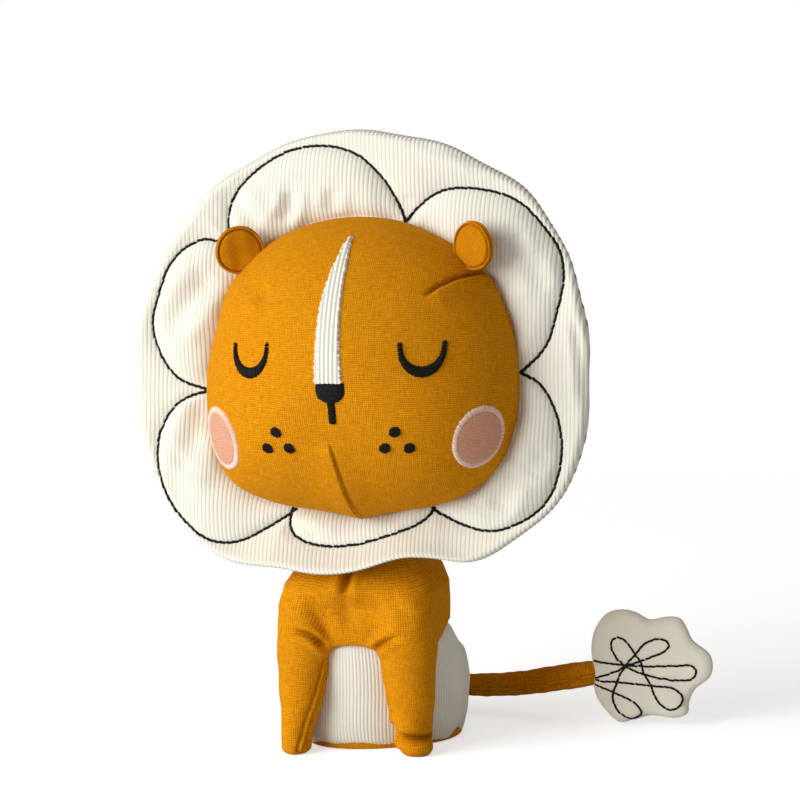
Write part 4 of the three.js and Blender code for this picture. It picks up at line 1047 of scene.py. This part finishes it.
def seam_level(x, y):
    """Where the chest meets the haunches: it rises backwards to the side, then runs level round the back."""
    x, reach = np.asarray(x), np.asarray(y) + SEAM_REACH
    arch = ARCH_RISE * bump_at(x, 0.5, ARCH_WIDTH) * np.clip((-reach - 7) / 5, 0, 1)
    slope = reach * SEAM_SLOPE
    rise = np.where(reach < 0, slope, SEAM_LEVEL_RISE * (1 - np.exp(-slope / SEAM_LEVEL_RISE)))
    return SEAM_HEIGHT + rise + arch - SEAM_DIP * bump_at(reach, SEAM_DIP_REACH, SEAM_DIP_WIDTH)


def rows_at(rows, height):
    """The columns of a table at a height, after its first."""
    rows = np.array(rows)
    return [np.interp(height, rows[:, 0], rows[:, k]) for k in range(1, rows.shape[1])]


def haunch_level(z):
    """Middle, half width and half depth of the haunches at a height."""
    width, depth, lean = rows_at(HAUNCH_ROWS, np.maximum(z, HEM_TAPER) / HAUNCH_HEIGHT)
    return HAUNCH_MIDDLE - HAUNCH_LEAN * lean, HAUNCH_HALF_WIDTH * width, HAUNCH_HALF_DEPTH * depth


def haunch_loop(angle, y, z, half_width, half_depth):
    """A loop of the haunches. Its front follows the body's twist, forwards on one side, back on the other."""
    aside = half_width * np.cos(angle) * np.maximum(0, -np.sin(angle)) ** 1.2
    return loop_at(angle, 0, y + FRONT_TWIST * (1 - z / HAUNCH_HEIGHT) * aside, z, half_width, half_depth)


def leg_middle(height, sign):
    """Middle, half width and half depth of a leg at a height."""
    reach, wide, deep = rows_at(LEG_ROWS, height)
    if sign < 0:
        wide = wide * (1 - (1 - RIGHT_PAW_SHARE) * reach)
    twist = (0.1 - sign * PAW_TWIST * FRONT_TWIST) * reach
    return sign * (LEG_ASIDE + PAW_ASIDE * reach), -LEG_FORWARD - twist, wide, deep


def soft_min(a, b, reach):
    """The lesser of two fields, with a fillet where they meet."""
    share = np.clip(0.5 + 0.5 * (b - a) / reach, 0, 1)
    return b + (a - b) * share - reach * share * (1 - share)


def romper_field(points):
    """Roughly how far each point lies outside the skin of the chest and the legs, in millimetres."""
    x, y, z = points.T
    middle, wide, deep = rows_at(CHEST_ROWS, z)
    across, through = np.abs(x) / wide, np.abs(y - middle) / deep
    chest = ((across**CHEST_SQUARE + through**CHEST_SQUARE) ** (1 / CHEST_SQUARE) - 1) * CHEST_SCALE
    chest = np.maximum(chest, (seam_level(x, y) - z) * 0.97)
    chest = -soft_min(-chest, CHEST_TOP - z, 3)
    whole = chest
    for sign in (1, -1):
        leg_x, leg_y, wide, deep = leg_middle(np.clip(z, 0, LEG_TOP), sign)
        ring = np.hypot((x - leg_x) / wide, (y - leg_y) / deep)
        leg = (ring - 1) * 0.5 * (wide + deep)
        above = np.clip(z - LEG_TOP, 0, None)
        top = np.sqrt((x - leg_x) ** 2 + (y - leg_y) ** 2 + above**2) - LEG_TOP_RADIUS
        leg = np.where(z > LEG_TOP, top, leg)
        leg = -soft_min(-leg, -(0.1 - z), 1.3)
        fillet = 4.0 + 2.0 * np.clip((z - 28) / 8, 0, 1) + 1.2 * bump_at(x, 0.5, 9) * (y < 0)
        whole = soft_min(whole, leg, fillet)
    return whole


print("the chest is", 2 * max(row[2] for row in CHEST_ROWS), "mm wide")

# %% [markdown]
# A voxel remesh of the plain forms gives an even net of points, and a few Newton steps draw each point
# onto the field. The folds are lines on the front, read off the toy: each pushes the skin in along the
# line and lifts it a little beside it.

# %% Chest and front legs
def tower(levels, around=96):
    """A closed stack of ellipses: each level is (height, sideways, depth, half width, half depth)."""
    angle = turns(around)
    loops = [loop_at(angle, x, y, z, w, d) for z, x, y, w, d in levels]
    faces = grid_faces(len(loops), around).tolist()
    faces += [list(range(around))[::-1], [(len(loops) - 1) * around + k for k in range(around)]]
    return np.concatenate(loops), faces


def melted(parts, voxel):
    """An even net round several overlapping closed forms."""
    points, faces, count = [], [], 0
    for more_points, more_faces in parts:
        faces += [[index + count for index in face] for face in more_faces]
        points.append(more_points)
        count += len(more_points)
    mesh = bpy.data.meshes.new("melt")
    mesh.from_pydata(np.concatenate(points).tolist(), [], faces)
    lump = bpy.data.objects.new("melt", mesh)
    bpy.context.scene.collection.objects.link(lump)
    remesh = lump.modifiers.new("remesh", "REMESH")
    remesh.mode, remesh.voxel_size = "VOXEL", voxel
    soften = lump.modifiers.new("soften", "SMOOTH")
    soften.factor, soften.iterations = 0.5, 12
    done = bpy.data.meshes.new_from_object(lump.evaluated_get(bpy.context.evaluated_depsgraph_get()))
    bpy.data.objects.remove(lump)
    return done


def mesh_arrays(mesh):
    """The points and normals of a mesh."""
    points, normals = np.zeros((2, len(mesh.vertices) * 3))
    mesh.vertices.foreach_get("co", points)
    mesh.vertex_normals.foreach_get("vector", normals)
    return points.reshape(-1, 3), normals.reshape(-1, 3)


def onto_field(points, field):
    """Draws points onto a field's skin; gives points and normals."""
    for _ in range(10):
        slope = np.stack([field(points + 0.1 * e) - field(points - 0.1 * e) for e in np.eye(3)], -1) / 0.2
        steep = np.maximum((slope**2).sum(1), 0.05)
        points = points - np.clip(field(points) / steep, -1.5, 1.5)[:, None] * slope
    return points, unit(slope)


def cut_by_plane(mesh, point, normal):
    """Keeps the side of the mesh that the normal points away from."""
    solid = bmesh.new()
    solid.from_mesh(mesh)
    everything = solid.verts[:] + solid.edges[:] + solid.faces[:]
    bmesh.ops.bisect_plane(solid, geom=everything, plane_co=point, plane_no=normal, clear_outer=True)
    solid.to_mesh(mesh)
    solid.free()
    return mesh


# Folds of the romper: a line in the plane x, z, its depth and its width
ROMPER_FOLDS = [
    ([(-7.6, 30.5), (-9.3, 32.6), (-12.0, 34.6), (-17.5, 35.6)], 1.9, 0.8),
    ([(-6.0, 32.0), (-7.2, 36.0), (-10.0, 40.5), (-13.5, 44.5)], 1.0, 1.7),
    ([(6.6, 30.5), (8.4, 32.2), (11.3, 34.0), (16.0, 35.4)], 1.7, 0.8),
    ([(5.5, 32.0), (7.8, 36.5), (11.5, 41.0)], 0.6, 2.0),
    ([(-1.6, 56.0), (-1.7, 49.5), (-1.3, 45.0)], 1.9, 1.2),
    ([(-1.3, 46.0), (-1.0, 40.0), (-0.6, 34.5)], 0.45, 1.7),
    ([(12.0, 8.0), (13.6, 6.4), (16.5, 5.5), (20.9, 5.1), (24.0, 5.5)], 2.6, 1.2),
    ([(-21.0, 20.0), (-24.0, 26.0)], 0.5, 1.8),
    ([(12.5, 45.0), (16.5, 41.5), (18.0, 37.5)], 0.5, 1.6),
]
# The tight ones among them, which get painted shade: a line, how dark the shade is and its width
ROMPER_CREASES = [
    ([(13.0, 6.9), (14.6, 6.0), (17.0, 5.4), (20.9, 5.1), (23.0, 5.4)], 1.0, 0.75),
    ([(-7.6, 30.5), (-9.3, 32.6), (-12.0, 34.4), (-15.5, 35.4)], 0.55, 0.7),
    ([(6.6, 30.5), (8.4, 32.2), (11.3, 34.0)], 0.45, 0.7),
    ([(-1.6, 53.0), (-1.7, 49.5), (-1.4, 46.5)], 0.5, 0.9),
]
# The seam down the inside of each leg
INNER_SEAMS = [
    [(-8.4, -21.0, 29), (-10.0, -22.5, 20), (-12.8, -24.5, 11), (-14.2, -27.0, 2)],
    [(8.2, -21.0, 29), (9.8, -20.0, 20), (11.0, -19.0, 11), (12.6, -18.0, 2)],
]
# Across that seam: the place, width and height of its ridge and of the groove beside it
INNER_PROFILE = [(0, 0.5, 0.4), (1.05, 0.42, -0.75)]
TOE_X, TOE_WIDTH, TOE_TOP, PAW_PUFF = 18.5, 5, 5.4, 1.3
KNEE_X, KNEE_WIDTH, KNEE_Z, KNEE_HEIGHT = 15.5, 4.2, 8.9, 1.9
ROMPER_VOXEL = 0.55


def romper_skin():
    """Chest and legs in one, with their folds and seams."""
    chest = tower([(z, 0, *rows_at(CHEST_ROWS, z)) for z in np.linspace(30, 59.5, 16)])
    legs = []
    for sign in (1, -1):
        levels = [(z, *leg_middle(z, sign)) for z in np.linspace(0.4, LEG_TOP, 24)]
        shoulder = leg_middle(LEG_TOP, sign)[:2]
        legs.append(tower(levels + [(43.5, *shoulder, 6.0, 6.0), (46, *shoulder, 3.0, 3.0)]))
    mesh = melted([chest, *legs], ROMPER_VOXEL)
    points, normals = onto_field(mesh_arrays(mesh)[0], romper_field)
    front = np.clip(-normals[:, 1] * 1.6 + 0.3, 0, 1)
    move = np.zeros(len(points))
    for line, depth, width in ROMPER_FOLDS:
        gap, _, along = away_from(points[:, [0, 2]], smooth_curve(line, 20))
        fade = np.clip(np.minimum(along * 4 + 0.5, (1 - along) * 2.2), 0, 1)
        groove = bump_at(gap, 0, width) - 0.35 * bump_at(gap, 2.4 * width, 1.2 * width)
        move -= depth * fade * groove * front
    x, y, z = points.T
    # The toe and the cloth above its crease stand out a little
    toe = bump_at(x, TOE_X, TOE_WIDTH) * np.clip((TOE_TOP - z) / 2, 0, 1) * np.clip(z / 1.2 + 0.3, 0, 1)
    knee = bump_at(x, KNEE_X, KNEE_WIDTH) * bump_at(z, KNEE_Z, KNEE_HEIGHT)
    move += PAW_PUFF * (toe + knee) * front
    for seam in INNER_SEAMS:
        gap = gaps_to(points, onto_field(smooth_curve(seam, 90), romper_field)[0])
        ends = np.clip((seam[0][2] - z) / 3, 0, 1)
        move += ends * sum(height * bump_at(gap, middle, width) for middle, width, height in INNER_PROFILE)
    move += 0.2 * np.sin(x / 3.1 + z / 7) * np.sin(z / 4.3 + y / 5)
    points = points + normals * move[:, None]
    points[:, 2] = np.maximum(points[:, 2], 0.05)
    mesh.vertices.foreach_set("co", points.ravel())
    mesh.update()
    return mesh


romper = romper_skin()
for side_name, sign in SIDES:
    half = cut_by_plane(romper.copy(), (0, 0, 0), (-sign, 0, 0))
    points, normals = mesh_arrays(half)
    x, y, z = points.T
    leg_x, leg_y, wide, _ = leg_middle(np.clip(z, 0, LEG_TOP), sign)
    on_leg = np.clip((34 - z) / 8, 0, 1)
    round_leg = leg_x + 2.2 * wide * np.arctan2(x - leg_x, np.maximum(leg_y - y, -0.2 * wide) + 1.2 * wide)
    round_chest = 25 * np.arctan2(x, -(y - 3))
    place = on_cloth(round_chest + (round_leg - round_chest) * on_leg, z - 0.12 * y, 2.0)
    faces = [list(polygon.vertices) for polygon in half.polygons]
    mesh = cloth_mesh(f"chest_and_leg_{side_name}", points, faces, place)
    shade_creases(mesh, points[:, [0, 2]], np.clip(-normals[:, 1] * 2 + 0.6, 0, 1), ROMPER_CREASES)
    solids = [f"leg_{side_name}_cover", f"leg_{side_name}_stuffing",
              "torso_cover" if side_name == "left" else "body_stuffing"]
    piece = sew(f"chest_and_leg_{side_name}", mesh, mustard_cloth, None, solids)
    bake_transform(piece)

# %% [markdown]
# ## Haunches and base
# The seat is a wide tub of corduroy with upright wales, sewn to the chest above and to a flat base
# below. The base's edge turns up a few millimetres, so a thin mustard line shows under the hem.

# %% Haunches and base
HAUNCH_WALES = 156
HAUNCH_GRID = ((110, 780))
# Where the hem lifts: its turn and width in degrees, and how far it lifts
HEM_LIFTS = [(274, 15, 1.1), (353, 8, 1.6)]
HEM_HEIGHT, TOP_TUCK, HEM_TUCK = 1.0, 1.5, 0.5
# How far the top edge is tried on its way in, and how far down the cloth follows it
DRAW_SHARES, DRAW_DROP = np.linspace(0.6, 1.02, 60), 6.5
# Rings of the base: share of the way out, and height
BASE_RINGS = [(0.02, 0.1), (0.5, 0.1), (0.9, 0.08), (0.975, 0.1), (0.993, 0.3), (1.0, 0.9), (1.0, 2.0),
              (0.99, 3.2), (0.965, 4.0)]
BASE_AROUND, BASE_INSET = 300, 0.35


def drawn_in(points, angle):
    """Behind, the top edge is drawn in until it lies on the chest."""
    rays = points[-1][:, None] * np.stack([DRAW_SHARES, DRAW_SHARES, np.ones(len(DRAW_SHARES))], -1)
    outside = romper_field(rays.reshape(-1, 3)).reshape(len(angle), -1) > -0.6
    pull = 1 - np.where(outside.any(1), DRAW_SHARES[outside.argmax(1)], 1)
    pull = pull * np.clip(np.sin(angle) * 3 - 0.1, 0, 1)
    pull = sum(np.roll(pull, step) for step in range(-12, 13)) / 25
    drop = points[-1, :, 2] - points[:, :, 2]
    points[:, :, :2] *= (1 - pull * bump_at(drop, 0, DRAW_DROP))[..., None]
    return points


def haunch_piece():
    rows, columns = HAUNCH_GRID
    angle = turns(columns)
    share = np.linspace(0, 1, rows)
    hem = HEM_HEIGHT + 0.3 * np.sin(angle * 7 + 2) + sum(
        lift * bump_at(angle, math.radians(turn), math.radians(width)) for turn, width, lift in HEM_LIFTS)
    points = np.zeros((rows, columns, 3))
    for row, s in enumerate(share):
        level = np.full(columns, SEAM_HEIGHT)
        for _ in range(8):
            y0, w, d = haunch_level(level)
            top = seam_level(w * np.cos(angle), y0 + d * np.sin(angle)) + 0.4
            level = hem + (top - hem) * s
        tuck = TOP_TUCK * np.exp(-(top - level) / 0.9) + HEM_TUCK * np.exp(-(level - hem) / 0.6)
        ease = 0.25 * np.sin(angle * 4 + 1) * np.sin(math.pi * s)
        ease = ease + 0.12 * np.sin(angle * 13) * np.exp(-(level - hem) / 4)
        points[row] = haunch_loop(angle, y0, level, w - tuck + ease, d - tuck + ease)
    points = drawn_in(points, angle).reshape(-1, 3)
    wale_place = np.tile(angle / (2 * math.pi) * HAUNCH_WALES * WALE_PITCH, rows)
    wale_place = wale_place + 0.2 * np.sin(points[:, 2] / 5)
    place = on_cloth(wale_place, points[:, 2], 1.0)
    points = ribbed(points, wale_place, rows, columns, -RIB_HEIGHT)
    mesh = cloth_mesh("haunch_cord", points, grid_faces(rows, columns), place)
    sew("haunch_cord", mesh, cream_cord, "trunk", ["haunch_cover"])


def base_piece():
    angle = turns(BASE_AROUND)
    loops = []
    for share, z in BASE_RINGS:
        y0, w, d = haunch_level(z)
        loops.append(haunch_loop(angle, y0, z, (w - BASE_INSET) * share, (d - BASE_INSET) * share))
    points = np.concatenate(loops)
    x, y, z = points.T
    faces = grid_faces(len(BASE_RINGS), BASE_AROUND)
    mesh = cloth_mesh("base_cloth", points, faces, on_cloth(x + z * 0.7, y + z))
    sew("base_cloth", mesh, mustard_cloth, "trunk", ["base_panel"])


haunch_piece()
base_piece()

# %% [markdown]
# ## Neck
# The neck is a short stuffed stem, hidden by the mane in front. Its top is round, so the head turns on
# it, and a ring of small stitches joins the two.

# %% Neck
NECK = np.array([0.0, -1.0, 67.0])
NECK_RADIUS, NECK_BALL_RADIUS, NECK_FOOT, NECK_SEAM = 10.0, 10.5, 55.5, 63.8
NECK_RING_RADIUS, NECK_RING_DROP = 10.7, 0.8
# The share of the rows that goes to the stem, below the ball
STEM_SHARE = 0.35


def neck_piece():
    rows, columns = 60, 96
    angle = turns(columns)
    loops = []
    for t in np.linspace(0, 1, rows):
        if t < STEM_SHARE:
            radius = NECK_RADIUS + 0.25 * math.sin(t * 30)
            z = NECK_FOOT + (NECK_SEAM - NECK_FOOT) * t / STEM_SHARE
        else:
            rise = -0.3 + (math.pi / 2 - 0.02 + 0.3) * (t - STEM_SHARE) / (1 - STEM_SHARE)
            radius, z = NECK_BALL_RADIUS * math.cos(rise), NECK[2] + NECK_BALL_RADIUS * math.sin(rise)
        radius = radius * (1 + 0.012 * np.sin(angle * 14) * (1 - t))
        loops.append(loop_at(angle, NECK[0], NECK[1], z, radius, radius))
    points = np.concatenate(loops)
    place = on_cloth(np.tile(angle * NECK_BALL_RADIUS, rows), points[:, 2])
    mesh = cloth_mesh("neck_cloth", points, grid_faces(rows, columns), place)
    sew("neck_cloth", mesh, mustard_cloth, "neck", ["neck_cover", "neck_stuffing"])


neck_piece()
angle = np.linspace(0, 2 * math.pi, 200)
outward = np.stack([np.cos(angle), np.sin(angle), 0 * angle], -1)
ring = NECK + outward * NECK_RING_RADIUS - (0, 0, NECK_RING_DROP)
stitch_rows("neck_seam_stitches", [ring], [outward], 2.2, 0.9, "neck_collar", "neck_stitch",
            radius=0.3, slant=0.5, finish=mustard_thread)

# %% [markdown]
# ## Tail and tuft
# The tail is a narrow stuffed tube with its seam low on the front. It is gathered into the back seam at
# one end and sewn between the two felt layers of the tuft at the other. Five loops of black stitches cross
# near the tuft's left edge, on both sides.

# %% Tail
TAIL_ROOT, TAIL_REACH, TAIL_END_BACK, TAIL_RADIUS = np.array([0.0, 38.1, 8.5]), 55.6, 34.5, 3.8
TAIL_RISE, TAIL_BOW, TAIL_SEAM, TAIL_FLAT = 5.9, 1.4, 5.8, 0.62
GATHER_RADIUS, GATHER_PLACE, GATHER_GRID = 2.85, 2.8, (40, 60)
# Shares of the tail's reach, rise and radius
TAIL_ROWS = [(0, 0, 0.66), (0.16, -0.1, 0.76), (0.36, -0.11, 0.88), (0.6, 0.14, 0.93), (0.82, 0.6, 0.99),
             (1, 1, 0.98)]
# Across the seam: the turn, width and height of the stitched groove, and of the swellings beside it
TAIL_PROFILE = [(TAIL_SEAM, 0.12, -0.15), (5.5, 0.14, 0.06), (0.5, 0.2, -0.03)]


def tail_piece():
    """The tube along a smooth line from the root to between the layers of the tuft."""
    way, rise, thick = (np.array(column) for column in zip(*TAIL_ROWS))
    _, root_y, root_z = TAIL_ROOT
    back = root_y + (TAIL_END_BACK - root_y) * way + TAIL_BOW * np.sin(math.pi * way)
    anchors = np.stack([TAIL_REACH * way, back, root_z + TAIL_RISE * rise], -1)
    anchors = np.vstack([anchors, anchors[-1] + (3.2, -0.1, 0.6)])
    rows, columns = 220, 64
    line = smooth_curve(anchors, rows)
    share = np.clip(line[:, 0] / TAIL_REACH, 0, 1.06)
    radius = TAIL_RADIUS * np.interp(share, [*way, 1.06], [*thick, 0.85])
    ahead = unit(np.gradient(line, axis=0))
    beside = unit(np.cross(ahead, (0, 0, 1.0)))
    above = np.cross(beside, ahead)
    angle = turns(columns)
    flatten = np.clip((line[:, 0] - TAIL_REACH + 3.5) / 5, 0, 1)
    thin = radius * (1 - TAIL_FLAT * flatten)
    start = np.clip(share / 0.05, 0, 1) ** 0.5
    seam = 1 + sum(height * bump_at(angle, turn, width) for turn, width, height in TAIL_PROFILE)
    down = share[:, None]
    pucker = 1 + 0.02 * np.sin(down * 62 + 2 * np.sin(down * 17)) * bump_at(angle, TAIL_SEAM, 0.8)
    wrinkle = 1 + 0.018 * np.sin(down * 40 + angle * 2) + 0.012 * np.sin(down * 83 - angle * 3)
    scale = seam * pucker * wrinkle * start[:, None]
    points = (line[:, None] + beside[:, None] * (thin[:, None] * scale * np.cos(angle))[..., None]
              + above[:, None] * (radius[:, None] * scale * np.sin(angle))[..., None])
    place = on_cloth(np.tile(angle * TAIL_RADIUS, rows), np.repeat(share * TAIL_REACH, columns))
    mesh = cloth_mesh("shaded_tail_cloth", points.reshape(-1, 3), grid_faces(rows, columns), place)
    piece = sew("shaded_tail_cloth", mesh, shaded_tail_cloth, None, ["tail_tube", "tail_stuffing"])
    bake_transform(piece)


def tail_root_piece():
    p, a = (part.ravel() for part in ball_grid(*GATHER_GRID, 0.02))
    radius = GATHER_RADIUS * (1 + 0.05 * np.sin(a * 9) * np.sin(p))
    ball = np.stack([np.sin(p) * np.cos(a), np.cos(p), np.sin(p) * np.sin(a)], -1)
    place = on_cloth(a * GATHER_PLACE, p * GATHER_PLACE)
    mesh = cloth_mesh("tail_gather", TAIL_ROOT + radius[:, None] * ball, grid_faces(*GATHER_GRID), place)
    sew("tail_gather", mesh, mustard_cloth, "tail_root", ["tail_root"])


tail_piece()
tail_root_piece()

# %% Tuft
# Shares of the tuft's half width and half height, from the middle
TUFT_OUTLINE = [
    (1, 0.1), (0.93, 0.31), (0.68, 0.52), (0.58, 0.72), (0.46, 0.9), (0.25, 0.92), (-0.04, 0.86),
    (-0.27, 0.97), (-0.52, 1), (-0.77, 0.9), (-0.94, 0.62), (-1, 0.26), (-0.95, -0.15), (-0.93, -0.5),
    (-0.8, -0.76), (-0.54, -1), (-0.3, -0.96), (0.02, -0.86), (0.4, -0.87), (0.6, -0.78), (0.62, -0.58),
    (0.72, -0.34), (0.95, -0.12),
]
TUFT_HALF_WIDTH, TUFT_HALF_HEIGHT, TUFT_HALF_THICKNESS, TUFT_RIM_HALF_THICKNESS = 18.0, 16.6, 3.0, 1.7
TUFT_RIM_SHARE, TUFT_CLOTH, TUFT_AROUND = 0.84, 0.12, 360
TUFT_STRANDS = [
    [(-0.97, 0.07), (-0.43, 0.05), (0, 0.06), (0.49, 0.1), (0.66, 0.11), (0.75, 0.03), (0.72, -0.1),
     (0.58, -0.16), (0.17, -0.14), (-0.13, -0.08), (-0.43, 0.04)],
    [(-0.97, -0.25), (-0.66, -0.13), (-0.43, 0.02), (-0.23, 0.26), (-0.1, 0.44), (0.08, 0.54),
     (0.24, 0.54), (0.31, 0.45), (0.25, 0.35), (0.12, 0.27), (-0.13, 0.15), (-0.36, 0.05),
     (-0.46, -0.07), (-0.53, -0.25), (-0.59, -0.41), (-0.61, -0.58), (-0.54, -0.76), (-0.4, -0.88),
     (-0.27, -0.91), (-0.14, -0.82), (-0.16, -0.72), (-0.27, -0.6), (-0.45, -0.51), (-0.66, -0.43),
     (-0.95, -0.33)],
    [(-0.43, 0.04), (-0.54, 0.16), (-0.63, 0.31), (-0.63, 0.47), (-0.54, 0.53), (-0.42, 0.49),
     (-0.31, 0.36), (-0.23, 0.24), (-0.14, 0.1), (-0.09, -0.07), (0.01, -0.25), (0.06, -0.41),
     (0.15, -0.58), (0.26, -0.68), (0.38, -0.7), (0.49, -0.63), (0.54, -0.5), (0.47, -0.37),
     (0.31, -0.3), (0.03, -0.29), (-0.43, -0.27), (-0.97, -0.27)],
]
outline = np.array(TUFT_OUTLINE) * (TUFT_HALF_WIDTH, TUFT_HALF_HEIGHT)
tuft_edge = smooth_curve(outline, TUFT_AROUND, closed=True)
tuft_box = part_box("tuft_front")
left, low = tuft_box[0][0] / MM, tuft_box[0][2] / MM
TUFT_PLACE = np.array([left - tuft_edge[:, 0].min(), TAIL_END_BACK, low - tuft_edge[:, 1].min()])


def tuft_depth(share):
    """Half thickness of the tuft: a flat pillow with a round rim."""
    share = np.clip(share, 0, 1)
    rim = np.sqrt(1 - np.clip((share - TUFT_RIM_SHARE) / (1 - TUFT_RIM_SHARE), 0, 1) ** 2)
    puff = (TUFT_HALF_THICKNESS - TUFT_RIM_HALF_THICKNESS) * (1 - share**2)
    return (TUFT_RIM_HALF_THICKNESS + puff) * rim


def tuft_layer(name, side, replaced):
    to_rim = TUFT_RIM_SHARE + (1 - TUFT_RIM_SHARE) * np.sin(np.linspace(0.12, math.pi / 2, 16))
    rings = [*np.linspace(0.01, TUFT_RIM_SHARE, 40), *to_rim]
    points = []
    for s in rings:
        depth = side * (tuft_depth(s) + TUFT_CLOTH) + 0.25 * np.sin(turns(TUFT_AROUND) * 7) * s**3
        points.append(np.stack([tuft_edge[:, 0] * s, depth, tuft_edge[:, 1] * s], -1))
    points = np.concatenate(points)
    place = on_cloth(points[:, 0], points[:, 2], side * 4.0)
    mesh = cloth_mesh(name, points + TUFT_PLACE, grid_faces(len(rings), TUFT_AROUND), place)
    sew(name, mesh, white_felt, "tuft", replaced)


tuft_layer("tuft_front_felt", -1, ["tuft_front", "tuft_wadding"])
tuft_layer("tuft_back_felt", 1, ["tuft_back"])


def tuft_share(flat):
    """How far out points of the tuft lie, as a share of the way to its outline."""
    shares = np.zeros(len(flat))
    for a, b in zip(tuft_edge, np.roll(tuft_edge, -1, 0)):
        turn = flat[:, 0] * (b[1] - a[1]) - flat[:, 1] * (b[0] - a[0])
        turn = np.where(np.abs(turn) < 1e-9, 1e-9, turn)
        along = (a[0] * flat[:, 1] - a[1] * flat[:, 0]) / turn
        reach = turn / (a[0] * b[1] - a[1] * b[0])
        shares = np.maximum(shares, np.where((along >= 0) & (along <= 1), reach, 0))
    return shares


for layer, side in LAYERS:
    paths = []
    for strand in TUFT_STRANDS:
        flat = smooth_curve(np.array(strand) * (TUFT_HALF_WIDTH, TUFT_HALF_HEIGHT), 240)
        share = tuft_share(flat)
        flat, share = flat[share < 0.97], share[share < 0.97]
        depth = side * (tuft_depth(share) + TUFT_CLOTH)
        paths.append(np.stack([flat[:, 0], depth, flat[:, 1]], -1) + TUFT_PLACE)
    stitch_rows(f"tuft_{layer}_stitches", paths, [(0, side, 0)] * len(paths), 1.7, 0.02, "tuft",
                f"tuft_loop_stitch_{layer}", radius=0.32, slant=0.06, depth=0.08)

# %% [markdown]
# ## Floor and light
# The toy stands in soft daylight from its right, on a white floor that melts into a white background.
# One lamp is the window, at the level where a colour looks as it was written, and the world gives the
# warm shade. The white comes from the floor itself: for the camera it adds a little light of its own,
# and far from the toy it is plain white.

# %% Floor, world and window
WHITE = (1, 1, 1)
FLOOR_SIZE, FLOOR_TINT, FLOOR_GLOW, FLOOR_NEAR, FLOOR_FAR = 8, (0.87, 0.9, 0.94), 0.53, 0.16, 0.5
SHADE_TINT, SHADE_LEVEL = (1.0, 0.93, 0.85), 0.34
WINDOW_PLACE, WINDOW_SIZE, WINDOW_POWER = (-1.0, -1.16, 0.46), 1.35, 31.5
WINDOW_AIM = (0, 0, 0.08)


def white_floor():
    bpy.ops.mesh.primitive_plane_add(size=FLOOR_SIZE, location=(0, 0, 0))
    floor = bpy.context.object
    floor.name = "floor"
    finish, tree = new_finish("white floor")
    camera_ray = add(tree, "ShaderNodeLightPath").outputs["Is Camera Ray"]
    place = add(tree, "ShaderNodeNewGeometry").outputs["Position"]
    reach = add(tree, "ShaderNodeVectorMath", {0: place}, operation="LENGTH").outputs["Value"]
    far = maths(tree, "MULTIPLY", spread(tree, reach, FLOOR_NEAR, FLOOR_FAR), camera_ray)
    glow = maths(tree, "MULTIPLY", camera_ray, FLOOR_GLOW)
    matt = add(tree, "ShaderNodeBsdfDiffuse", {"Color": (*FLOOR_TINT, 1)}).outputs[0]
    own, white = (
        add(tree, "ShaderNodeEmission", {"Color": (*WHITE, 1), "Strength": strength}).outputs[0]
        for strength in (glow, 1.0))
    near = add(tree, "ShaderNodeAddShader", {0: matt, 1: own}).outputs[0]
    mix = add(tree, "ShaderNodeMixShader", {0: far, 1: near, 2: white}).outputs[0]
    tree.links.new(mix, add(tree, "ShaderNodeOutputMaterial").inputs[0])
    floor.data.materials.append(finish)


def white_world():
    world = bpy.data.worlds.new("soft room")
    bpy.context.scene.world = world
    world.use_nodes = True
    tree = world.node_tree
    tree.nodes.clear()
    camera_ray = add(tree, "ShaderNodeLightPath").outputs["Is Camera Ray"]
    strength = maths(tree, "MULTIPLY_ADD", camera_ray, 1.0 - SHADE_LEVEL, SHADE_LEVEL)
    tint = colour_mix(tree, camera_ray, SHADE_TINT, WHITE)
    shine = add(tree, "ShaderNodeBackground", {"Color": tint, "Strength": strength}).outputs[0]
    tree.links.new(shine, add(tree, "ShaderNodeOutputWorld").inputs[0])


def window():
    light = bpy.data.lights.new("window", "AREA")
    light.shape, light.size, light.energy, light.color = "DISK", WINDOW_SIZE, WINDOW_POWER, WHITE
    holder = bpy.data.objects.new("window", light)
    bpy.context.scene.collection.objects.link(holder)
    holder.location = WINDOW_PLACE
    holder.rotation_mode = "QUATERNION"
    holder.rotation_quaternion = (Vector(WINDOW_AIM) - Vector(WINDOW_PLACE)).to_track_quat("-Z", "Y")


white_floor()
white_world()
window()
bpy.context.scene.view_settings.view_transform = "Standard"
print("the floor, the world and one window light are set")
